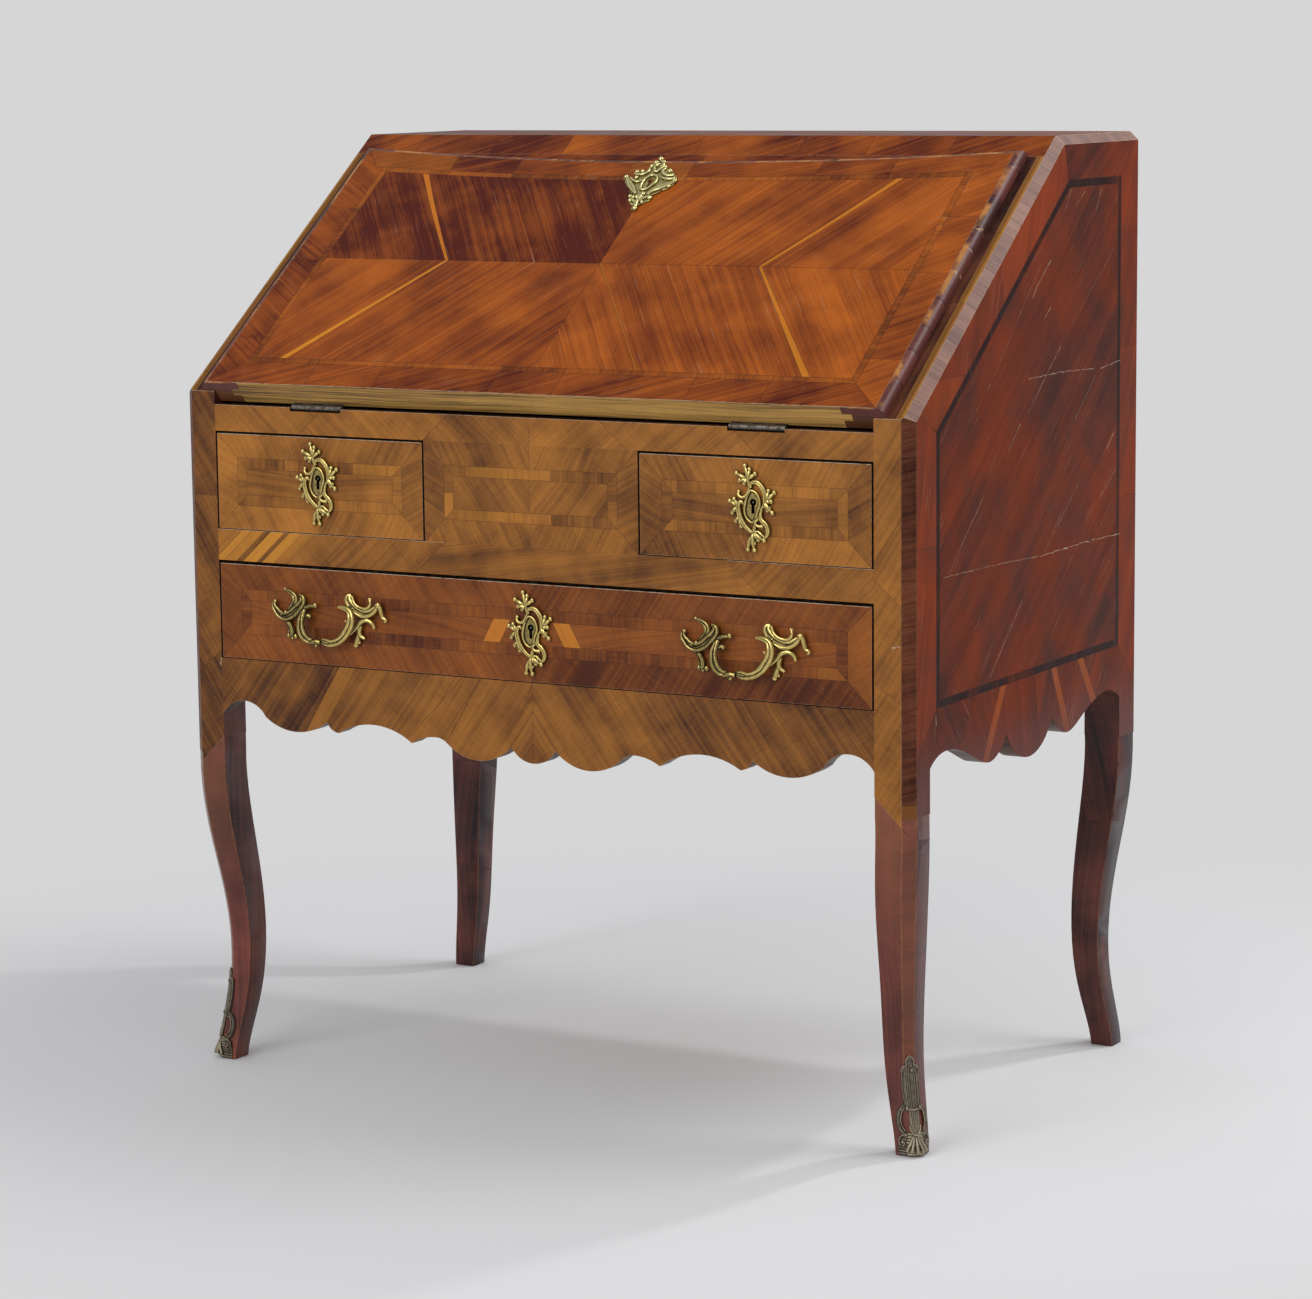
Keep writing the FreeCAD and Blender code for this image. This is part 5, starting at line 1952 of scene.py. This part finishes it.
class Palette:
    """The finishes of the desk."""

    fall = VeneerFinish("lid veneer", srgb(76, 20, 6), srgb(176, 90, 20), srgb(214, 142, 30), band=0.24,
        streak=0.32, line=0.26, ripple=0.0, cloud=0.5, scratches=0.3, rough=0.32, coat=0.02, gloss=0.1)
    front = VeneerFinish("front veneer", srgb(58, 28, 16), srgb(172, 110, 42), srgb(200, 136, 40), band=0.2,
        streak=0.28, line=0.14, ripple=0.09, cloud=0.5, scratches=0.12, seam=0.38)
    drawer = VeneerFinish("drawer veneer", srgb(72, 30, 12), srgb(170, 96, 34), srgb(204, 132, 38), band=0.16,
        streak=0.22, line=0.14, ripple=0.09, cloud=0.32, scratches=0.12, seam=0.38)
    # The side veneer's foot colour is painted sheen near the legs.
    side = VeneerFinish("side veneer", srgb(36, 8, 6), srgb(140, 54, 15), srgb(166, 90, 30), band=0.24,
        streak=0.18, line=0.13, ripple=0.0, cloud=0.4, scratches=0.35, gloss=0.06, coat=0.0,
        foot=srgb(92, 56, 54))
    top = VeneerFinish("top veneer", srgb(40, 12, 8), srgb(136, 58, 20), srgb(166, 90, 30), band=0.3,
        streak=0.24, line=0.16, ripple=0.0, cloud=0.3, rough=0.42, coat=0.0, gloss=0.34)
    edge = VeneerFinish("edge veneer", srgb(40, 18, 16), srgb(116, 66, 44), srgb(196, 138, 44),
        worn=srgb(160, 128, 104), cloud=0.5, scratches=0.3, rough=0.4, coat=0.0, gloss=0.07)
    # Painted sheen: the bevel veneer's pale mauve-grey colours stand in for the light that the bevels and the
    # top ridge reflect.
    bevel = VeneerFinish("bevel veneer with painted sheen", srgb(100, 70, 62), srgb(146, 106, 90), srgb(196, 138, 44),
        worn=srgb(190, 152, 116), cloud=0.4, scratches=0.3, rough=0.36, coat=0.0, gloss=0.16)
    leg = VeneerFinish("leg veneer", srgb(34, 15, 20), srgb(124, 64, 52), srgb(190, 130, 66),
        worn=srgb(164, 112, 74), band=0.3, streak=0.3, cloud=0.5, scratches=0.15, rough=0.32, coat=0.12,
        gloss=0.26)
    core = BoardFinish("fall core", srgb(62, 40, 16), srgb(186, 142, 70), streak=0.25, line=0.65)
    lip = MouldingFinish("fall lip", srgb(42, 16, 18), srgb(112, 58, 44), srgb(196, 160, 110), Run.WIDTH)
    cleat = MouldingFinish("fall cleat", srgb(46, 18, 20), srgb(104, 54, 46), srgb(168, 132, 96))
    board = BoardFinish("front boards", srgb(44, 24, 16), srgb(96, 58, 32), Run.WIDTH, 0.45)
    carcass = BoardFinish("carcass wood", srgb(112, 78, 46), srgb(182, 140, 92), Run.DEPTH, 0.6)
    back = BoardFinish("back boards", srgb(88, 60, 38), srgb(150, 112, 74), Run.HEIGHT, 0.65)
    gilt = CastFinish("gilt bronze", srgb(40, 30, 10), srgb(228, 202, 124), 0.25)
    # Painted light: the cartouche's gilt is a lighter copy of the gilt bronze, with painted glints, because the
    # fall faces up into the light.
    bright = CastFinish("bright gilt bronze", srgb(112, 92, 26), srgb(255, 245, 176), 0.24)
    dull = CastFinish("dull bronze", srgb(66, 58, 52), srgb(182, 168, 142), 0.36)
    iron = IronFinish("dulled iron", srgb(120, 114, 106), srgb(62, 44, 34))
    leather = LeatherFinish("writing leather", srgb(48, 27, 19), srgb(66, 38, 25), srgb(176, 138, 66), 0.325,
        0.0458, 0.3065)
    knob = IronFinish("knob brass", srgb(190, 154, 84), srgb(120, 92, 50), 0.3)
    # Painted shade: the near-black finish of the drawers' gap sheets and of the dark behind the keyholes.
    keyhole = IronFinish("painted shade dark", srgb(12, 10, 9), srgb(20, 14, 10), 0.7)


def above_sabot(place: Vector) -> bool:
    """Tell whether a place is on the chamfer's straight part."""
    return place.z > CHAMFER_FOOT


@dataclass
class Case:
    """The standing case: front, sides, top, legs and the boards inside."""

    palette: Palette

    def build(self) -> None:
        """Dress every part of the case."""
        self.front()
        self.sides()
        self.strips()
        self.top()
        self.legs()
        self.boards()

    def front(self) -> None:
        """Veneer rails, posts, apron and the fixed panel."""
        nodes = ("front_top_rail", "front_mid_rail", "centre_panel", "front_apron", "left_front_leg",
            "right_front_leg")
        sheet = VeneerSheet("front_frame_veneer", FRONT, FrontFrame(), self.palette.front.material(), lift=0.14)
        place_on(sheet.from_nodes(nodes), "case", "veneered_wood")

    def sides(self) -> None:
        """Veneer both sides across posts, panel and the top's edge."""
        for name, plane in (("right", RIGHT), ("left", LEFT)):
            nodes = (name + "_side", name + "_front_leg", name + "_rear_leg", "top_board")
            layout = SidePanel() if name == "right" else SidePanel(cracks=())
            sheet = VeneerSheet(name + "_side_veneer", plane, layout, self.palette.side.material())
            place_on(sheet.from_nodes(nodes), "case", "veneered_wood")

    def strips(self) -> None:
        """Veneer the head rail, the strips beside the fall, the bevels and the chamfers; the bevels and the top
        ridge carry painted sheen.
        """
        red, edge, painted_sheen = (self.palette.fall.material(), self.palette.edge.material(),
            self.palette.bevel.material())
        brows = (("head_rail_veneer", "head_rail", 150.0, 0.27, 0.08, 70.0),
            ("brow_veneer", "top_board", 90.0, 0.38, 0.09, 60.0))
        for name, node, *sizes in brows:
            layout = CrossStrip(*sizes, 0.2, -420.0, 420.0, True)
            place_on(VeneerSheet(name, SLANT, layout, red).from_nodes((node,)), "case", "veneered_wood")
        for name, way in (("right", 1.0), ("left", -1.0)):
            side, leg = name + "_side", name + "_front_leg"
            bevel = Plane.facing(Vector((way, 0.0, 0.0)) + SLANT.normal(), SLANT.world(way * BEVEL_X, 0.0) / MM,
                SLANT.up)
            ridge = Plane.facing(Vector((way, 0.0, 1.0)), (way * BEVEL_X, 0.0, TOP_Z), BACKWARDS)
            chamfer = Plane.facing(Vector((way, -1.0, 0.0)), (way * CHAMFER_X, FRONT_Y, 0.0), UPWARDS)
            # The bevel and the ridge take the veneer with painted sheen.
            strips = ((SLANT, SlopeStrip(27.0, 0.5, 0.2, 6.0, 0.4), edge, (side, leg, name + "_lining")),
                (bevel, CrossStrip(27.0, 0.5, 0.14, 6.0, 0.5), painted_sheen, (side, leg, "top_board")),
                (ridge, CrossStrip(24.0, 0.42, 0.2, 6.0, 0.6), painted_sheen, ("top_board",)),
                (chamfer, CrossStrip(42.0, 0.54, 0.1, 12.0, 0.35, sap=0.45), edge, (leg,)))
            pieces = [VeneerSheet("strip", plane, layout, material).from_nodes(nodes, above_sabot)
                for plane, layout, material, nodes in strips]
            place_on(merge(name + "_edge_veneers", pieces), "case", "veneered_wood")

    def top(self) -> None:
        """Veneer the top board."""
        sheet = VeneerSheet("top_veneer", TOP, TopPanel(), self.palette.top.material())
        place_on(sheet.from_nodes(("top_board",)), "case", "veneered_wood")

    def legs(self) -> None:
        """Build the four legs in place of their solids."""
        for name in ("left_front_leg", "right_front_leg", "left_rear_leg", "right_rear_leg"):
            leg = Leg(name, self.palette.leg.material(), self.palette.front.material())
            place_on(leg.build(), "case", "leg_wood", name)

    def boards(self) -> None:
        """Finish the boards that stay as they are."""
        dress_nodes(self.palette.board, "front_top_rail", "front_mid_rail", "centre_panel", "front_apron",
            "left_side", "right_side", "top_board", "head_rail", "gradin_dividers", "gradin_shelves",
            "writing_bed")
        dress_nodes(self.palette.carcass, "left_lining", "right_lining", "case_bottom", "dust_board",
            "left_divider", "right_divider")
        dress_nodes(self.palette.back, "back_panel")
        dress_nodes(self.palette.iron, "hinge_case_leaves", "hinge_case_screws", "hinge_pins")


def dress_nodes(finish: Finish, *names: str) -> None:
    """Give CAD nodes one finish.

    Args:
        finish: the finish.
        names: the nodes.
    """
    for name in names:
        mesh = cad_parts[name].data
        mesh.materials.clear()
        mesh.materials.append(finish.material())


@dataclass
class Fall:
    """The hinged fall with its veneer, core edge, leather, lock and escutcheon."""

    palette: Palette
    key: float = 336.5
    aside: Point = (-8.0, 4.0)

    def build(self) -> None:
        """Dress every part of the fall."""
        panel = LidPanel()
        sheet = VeneerSheet("fall_veneer", LID, panel, self.palette.fall.material(), flat_limit=0.15)
        place_on(sheet.from_rectangle(-panel.half, panel.half, 0.82, panel.high, 40), "fall", "veneered_wood")
        dress_nodes(self.palette.lip, "fall_panel")
        dress_nodes(self.palette.cleat, "fall_left_cleat", "fall_right_cleat")
        self.core_edge()
        dress_nodes(self.palette.leather, "fall_leather")
        dress_nodes(self.palette.iron, "fall_lock", "fall_bolt", "hinge_fall_leaves", "hinge_fall_screws")
        self.escutcheon()

    def core_edge(self) -> None:
        """Lay bare wood on the lower edge, where the veneer ends and the core shows."""
        bare = self.palette.core.material()
        sheet = VeneerSheet("fall_core_edge", CUP_EDGE, CrossStrip(900.0, 0.5), bare, lift=0.08, thick=0.2)
        place_on(sheet.from_nodes(("fall_panel",)), "fall", "carcass_wood")

    def escutcheon(self) -> None:
        """Model the foliate cartouche around the keyhole."""
        def surface(x: float, z: float, lift: float) -> Vector:
            """Lay a point on the fall's face."""
            return LID.world(x + self.aside[0], self.key + self.aside[1] + z, lift + 0.2)

        # The cartouche takes the gilt with painted light.
        mount = Casting("fall_cartouche", surface, self.palette.bright.material(), FALL_SCROLLS, [], FALL_BULBS,
            FALL_PLATE, 1.0, keyhole=(0.0, 0.0), tall=5.0, hole_scale=1.35)
        place_on(mount.build(), "fall", "gilt_bronze", "fall_escutcheon")


@dataclass
class Drawers:
    """The three drawers of the front with their mounts, and the two small ones inside."""

    palette: Palette
    key_x: float = 255.25
    key_z: float = 640.1
    long_key_z: float = 500.6
    pull_x: float = 245.0
    pull_z: float = 494.6

    def build(self) -> None:
        """Dress every drawer."""
        small = {"left_drawer": (-383.8, -126.7, 2), "right_drawer": (126.7, 383.8, 3)}
        for body, (x0, x1, seed) in small.items():
            panel = BandedPanel(x0 + 1.0, x1 - 1.0, 582.4, 682.6, band=25.0, string=11.5, field_tone=0.5,
                tone=0.57, edge=0.3, seed=seed)
            self.face(body, panel, (x0, x1, 582.1, 683.8), self.palette.front)
        panel = BandedPanel(-382.8, 382.8, 445.0, 545.2, band=26.0, string=12.0, field_tone=0.4, tone=0.33,
            edge=0.25, seed=6, marks=(-48.0, 48.0), band_angle=56.0, field_angle=10.0, block=55.0)
        self.face("long_drawer", panel, (-383.8, 383.8, 444.6, 547.3), self.palette.drawer)
        places = {"left_drawer": (-self.key_x, self.key_z), "right_drawer": (self.key_x, self.key_z),
            "long_drawer": (0.0, self.long_key_z)}
        for body, (x, z) in places.items():
            self.escutcheon(body, x, z)
        for name, x in (("left_pull", -self.pull_x), ("right_pull", self.pull_x)):
            self.pull(name, x)
        self.insides()

    def face(self, body: str, panel: BandedPanel, board: tuple[float, float, float, float],
            veneer: VeneerFinish) -> None:
        """Veneer a drawer's front over a near-black sheet of painted shade that shows in the gaps around it.

        Args:
            body: the drawer.
            panel: its veneer's layout.
            board: the sides of the board behind.
            veneer: its finish.
        """
        # Painted shade: a near-black sheet under the veneer stands in for the shade in the drawer's gaps.
        gap_shade = VeneerSheet(body + "_gap_shade", FRONT, CrossStrip(900.0, 0.0), self.palette.keyhole.material(),
            lift=0.05, thick=0.1)
        place_on(gap_shade.from_rectangle(*board), body, "carcass_wood")
        sheet = VeneerSheet(body + "_veneer", FRONT, panel, veneer.material())
        place_on(sheet.from_rectangle(panel.x0, panel.x1, panel.y0, panel.y1), body, "veneered_wood")

    def escutcheon(self, body: str, x: float, z: float) -> None:
        """Model one drawer's escutcheon with painted shade, a near-black sheet, behind its keyhole.

        Args:
            body: the drawer.
            x, z: the keyhole's place.
        """
        def surface(a: float, b: float, lift: float) -> Vector:
            """Lay a point on the drawer's face."""
            return FRONT.world(x + a, z + b, lift + 0.2)

        mount = Casting(body + "_scroll_escutcheon", surface, self.palette.gilt.material(), DRAWER_SCROLLS,
            DRAWER_LEAVES, [(-15.2, 10.0, 2.2, 2.2), (10.0, -23.0, 2.2, 2.2), (13.0, -34.0, 2.2, 1.9)],
            DRAWER_PLATE, 0.9, keyhole=(0.0, 0.0), tall=5.0, hole_scale=1.4)
        place_on(mount.build(), body, "gilt_bronze", body + "_escutcheon")
        # Painted shade: a near-black sheet behind the keyhole stands in for the dark inside the hole.
        shade = VeneerSheet(body + "_keyhole", FRONT, CrossStrip(900.0, 0.0), self.palette.keyhole.material(),
            lift=0.42, thick=0.2)
        place_on(shade.from_rectangle(x - 4.6, x + 4.6, z - 12.0, z + 4.4), body, "iron")
        bpy.ops.object.select_all(action="DESELECT")
        bpy.ops.mesh.primitive_cylinder_add(vertices=16, radius=1.1 * MM, depth=1.6 * MM,
            rotation=(math.pi / 2.0, 0.0, 0.0), location=FRONT.world(x, z, 0.9))
        pin = bpy.context.object
        settle(pin)
        edit(pin, "EDGE")
        bpy.ops.mesh.bevel(offset=0.4 * MM, segments=3, affect="EDGES")
        close_edit()
        pin.name = pin.data.name = body + "_lock_pin"
        pin.data.materials.append(self.palette.iron.material())
        place_on(pin, body, "iron")

    def pull(self, name: str, x: float) -> None:
        """Model one scrolling pull.

        Args:
            name: its node.
            x: the place of its middle.
        """
        def surface(a: float, b: float, lift: float) -> Vector:
            """Lay a point off the drawer's face."""
            return FRONT.world(x + a + 0.55 * lift, self.pull_z + b + 0.13 * lift, lift)

        mount = Casting(name + "_scrolls", surface, self.palette.gilt.material(), PULL_SCROLLS, [], PULL_BULBS,
            voxel=0.6, tall=14.0)
        place_on(mount.build(), "long_drawer", "gilt_bronze", name)

    def insides(self) -> None:
        """Finish trays, bottoms, locks and the small drawers inside."""
        for body in ("left_drawer", "right_drawer", "long_drawer"):
            dress_nodes(self.palette.board, body + "_front")
            dress_nodes(self.palette.carcass, body + "_tray", body + "_bottom")
            dress_nodes(self.palette.iron, body + "_lock")
        for side in ("left_gradin", "right_gradin"):
            dress_nodes(self.palette.board, side + "_front")
            dress_nodes(self.palette.carcass, side + "_tray")
            dress_nodes(self.palette.knob, side + "_knob")
        dress_nodes(self.palette.board, "well_cover")


@dataclass
class Studio:
    """Floor, lights, world and camera."""

    background: Colour = srgb(214, 214, 214)
    eye: Spot = (2.032, -3.5768, 1.0795)
    yaw: float = math.radians(29.685)
    pitch: float = math.radians(-8.821)
    roll: float = math.radians(-0.631)
    lens: float = 106.85

    def build(self) -> None:
        """Set up the whole studio."""
        self.camera()
        self.floor()
        self.world()
        self.lights()
        bpy.context.scene.view_settings.view_transform = "Standard"

    def camera(self) -> None:
        """Place the camera as the photograph's."""
        data = bpy.data.cameras.new("camera")
        data.lens = self.lens
        data.sensor_width = 36.0
        data.sensor_fit = "HORIZONTAL"
        data.clip_end = 50.0
        camera = add_object("camera", data)
        look = Vector((-math.sin(self.yaw) * math.cos(self.pitch), math.cos(self.yaw) * math.cos(self.pitch),
            math.sin(self.pitch)))
        right = look.cross(Vector((0.0, 0.0, 1.0))).normalized()
        up = right.cross(look)
        across = right * math.cos(self.roll) + up * math.sin(self.roll)
        above = up * math.cos(self.roll) - right * math.sin(self.roll)
        turn = Matrix((across, above, -look)).transposed().to_4x4()
        camera.matrix_world = Matrix.Translation(Vector(self.eye)) @ turn
        bpy.context.scene.camera = camera

    def floor(self) -> None:
        """Lay a pale floor that fades into the background."""
        bpy.ops.object.select_all(action="DESELECT")
        bpy.ops.mesh.primitive_circle_add(vertices=96, radius=9.0, fill_type="NGON",
            location=(0.0, 0.0, -0.0005))
        obj = bpy.context.object
        settle(obj)
        obj.name = "floor"
        material, hand, shader = start_material("pale floor")
        place = hand.add("TexCoord").outputs["Object"]
        shader.inputs["Base Color"].default_value = srgb(213, 213, 214)
        shader.inputs["Roughness"].default_value = 0.9
        shader.inputs["Specular IOR Level"].default_value = 0.15
        far = hand.add("VectorMath", operation="LENGTH")
        hand.feed(far.inputs[0], place)
        glow = hand.add("Emission", Color=self.background, Strength=1.0)
        fade = hand.span(far.outputs["Value"], 0.66, 1.4)
        end = material.node_tree.nodes["Material Output"]
        hand.feed(end.inputs["Surface"], hand.blend(fade, shader.outputs[0], glow.outputs[0]))
        obj.data.materials.append(material)

    def world(self) -> None:
        """Fill the room with even light, dimmer for glossy rays, and show the background to the camera and to
        transmission.
        """
        world = bpy.data.worlds.new("room")
        bpy.context.scene.world = world
        world.use_nodes = True
        hand = Hand(world.node_tree)
        plain = world.node_tree.nodes["Background"]
        plain.inputs["Color"].default_value = (0.95, 0.97, 1.0, 1.0)
        seen = hand.add("Background", Color=self.background, Strength=1.0)
        path = hand.add("LightPath")
        hand.feed(plain.inputs["Strength"], hand.span(path.outputs["Is Glossy Ray"], 0.0, 1.0, 0.7, 0.48))
        rays = hand.math("MAXIMUM", path.outputs["Is Camera Ray"], path.outputs["Is Transmission Ray"])
        end = world.node_tree.nodes["World Output"]
        hand.feed(end.inputs["Surface"], hand.blend(rays, plain.outputs[0], seen.outputs[0]))

    def lights(self) -> None:
        """Hang a broad lamp above right behind, one before the front and a weak fill."""
        self.lamp("rear lamp", (1.0, 1.3, 2.1), (0.0, 0.0, 0.3), 0.14, 13.0)
        self.lamp("upper lamp", (1.9, 0.8, 2.7), (0.2, 0.0, 0.6), 1.3, 26.0)
        self.lamp("front lamp", (-0.6, -3.6, 2.4), (0.0, 0.0, 0.6), 2.4, 60.0)

    @staticmethod
    def lamp(name: str, place: Spot, aim: Spot, size: float, power: float) -> None:
        """Hang one square lamp.

        Args:
            name: its name.
            place, aim: where it hangs and where it points.
            size: its side in metres.
            power: its strength in watts.
        """
        data = bpy.data.lights.new(name, "AREA")
        data.size = size
        data.energy = power
        obj = add_object(name, data)
        obj.location = place
        obj.rotation_euler = (Vector(aim) - Vector(place)).to_track_quat("-Z", "Y").to_euler()


@dataclass
class Sabots:
    """The two bronze shoes on the front feet: a long leaf, two pierced scrolls and a shell at the toe."""

    palette: Palette
    rows: tuple[tuple[float, float, float, float], ...] = ((0.0, 3.0, 20.0, 25.0), (22.0, 5.0, 21.5, 26.0),
        (60.0, 11.0, 25.5, 28.0), (105.0, 15.0, 28.0, 30.0), (145.0, 14.5, 26.5, 32.0))
    chamfer: float = 0.275
    spread: float = 1.25

    def leg(self, height: float) -> Spot:
        """Return the leg's insets and thickness at a height, on smooth lines through its sections.

        Args:
            height: above the floor, in millimetres.
        Returns:
            The inset from the side, the inset from the front and the thickness.
        """
        values = [0.0, 0.0, 0.0]
        for row in self.rows:
            weight = 1.0
            for other in self.rows:
                if other is not row:
                    weight *= (height - other[0]) / (row[0] - other[0])
            values = [value + weight * part for value, part in zip(values, row[1:])]
        return values[0], values[1], values[2]

    def surface(self, way: float) -> Callable[[float, float, float], Vector]:
        """Return a function that lays points round the foot's outer corner.

        Args:
            way: 1 for the right foot, -1 for the left one.
        Returns:
            A function of width round the corner, height and lift.
        """
        def lay(width: float, height: float, lift: float) -> Vector:
            """Lay one point, its width counted from the middle of the chamfer.

            Args:
                width, height, lift: the point, in millimetres.
            Returns:
                Its place, in metres.
            """
            side, front, thick = self.leg(height)
            width *= self.spread
            cut = self.chamfer * thick
            half = cut / math.sqrt(2.0)
            x, y = HALF_WIDTH - side - cut / 2.0, FRONT_Y + front + cut / 2.0
            slant = max(-half, min(half, width))
            turn = math.radians(45.0 * max(-1.0, min(1.0, width / (half + 3.0))))
            rest = width - slant
            x += slant / math.sqrt(2.0) + min(0.0, rest)
            y += slant / math.sqrt(2.0) + max(0.0, rest)
            out = (math.cos(math.radians(45.0) - turn), -math.sin(math.radians(45.0) - turn))
            return Vector((way * (x + out[0] * lift), y + out[1] * lift, height)) * MM

        return lay

    def strokes(self) -> list[Stroke]:
        """Return the shoe's scrolls, leaf and shell.

        Returns:
            Strokes over width round the corner and height.
        """
        found = list(SHOE_MIDDLE)
        for step in range(-4, 5):
            width = step * 1.45
            top = 97.0 - 0.9 * abs(width) if abs(step) < 3 else 87.0
            found.append(Stroke(((width * 0.8, top), (width, 80.0), (width * 1.05, 64.0), (width * 0.9, 45.0)),
                (1.6, 2.1, 2.1), 0.2))
        for step in range(-2, 3):
            found.append(Stroke(((step * 1.2, 47.0), (step * 1.3, 36.0), (step * 0.9, 22.0)), (1.7, 1.8, 1.6),
                0.9))
        for height in (2.4, 5.2, 8.0, 10.8, 13.6, 16.4, 19.2, 22.0):
            reach = 15.2 - 0.5 * max(0.0, height - 13.0)
            ring = tuple((reach * share, height) for share in (-1.0, -0.6, -0.3, 0.0, 0.3, 0.6, 1.0))
            found.append(Stroke(ring, (1.7, 2.0, 1.7), 0.2))
        for side in (-1.0, 1.0):
            for part in SHOE_SIDE:
                points = tuple((side * width, height) for width, height in part.points)
                found.append(Stroke(points, part.radii, part.lift, part.swell))
        for rib in (-2.0, -1.0, 0.0, 1.0, 2.0):
            found.append(Stroke(((rib * 0.8, 20.4), (rib * 2.1, 13.0), (rib * 3.3, 4.4 + 0.5 * abs(rib))),
                (0.9, 1.5, 2.0), 1.7, rise=4.4 - 0.9 * abs(rib)))
        return found

    def build(self) -> None:
        """Model the shoe on each front foot."""
        dull = self.palette.dull.material()
        for name, way in (("left_sabot", -1.0), ("right_sabot", 1.0)):
            bulbs = [(0.6, 84.0, 2.4, 1.7), (-5.2, 86.5, 1.6, 1.3), (5.2, 86.5, 1.6, 1.3),
                (-4.4, 48.0, 2.4, 1.5), (4.4, 48.0, 2.4, 1.5), (-10.6, 14.0, 2.6, 1.5), (10.6, 14.0, 2.6, 1.5)]
            shoe = Casting(name + "_leaf", self.surface(way), dull, self.strokes(), [], bulbs, voxel=0.45,
                tall=7.0, middle=40.0)
            place_on(shoe.build(), "case", "gilt_bronze", name)


def main() -> None:
    """Build the desk's parts in order."""
    logging.basicConfig(level=logging.INFO, format="%(message)s")
    palette = Palette()
    for part in (Studio(), Case(palette), Fall(palette), Drawers(palette), Sabots(palette)):
        part.build()
        LOG.info("built %s", type(part).__name__)


if __name__ == "__main__":
    main()
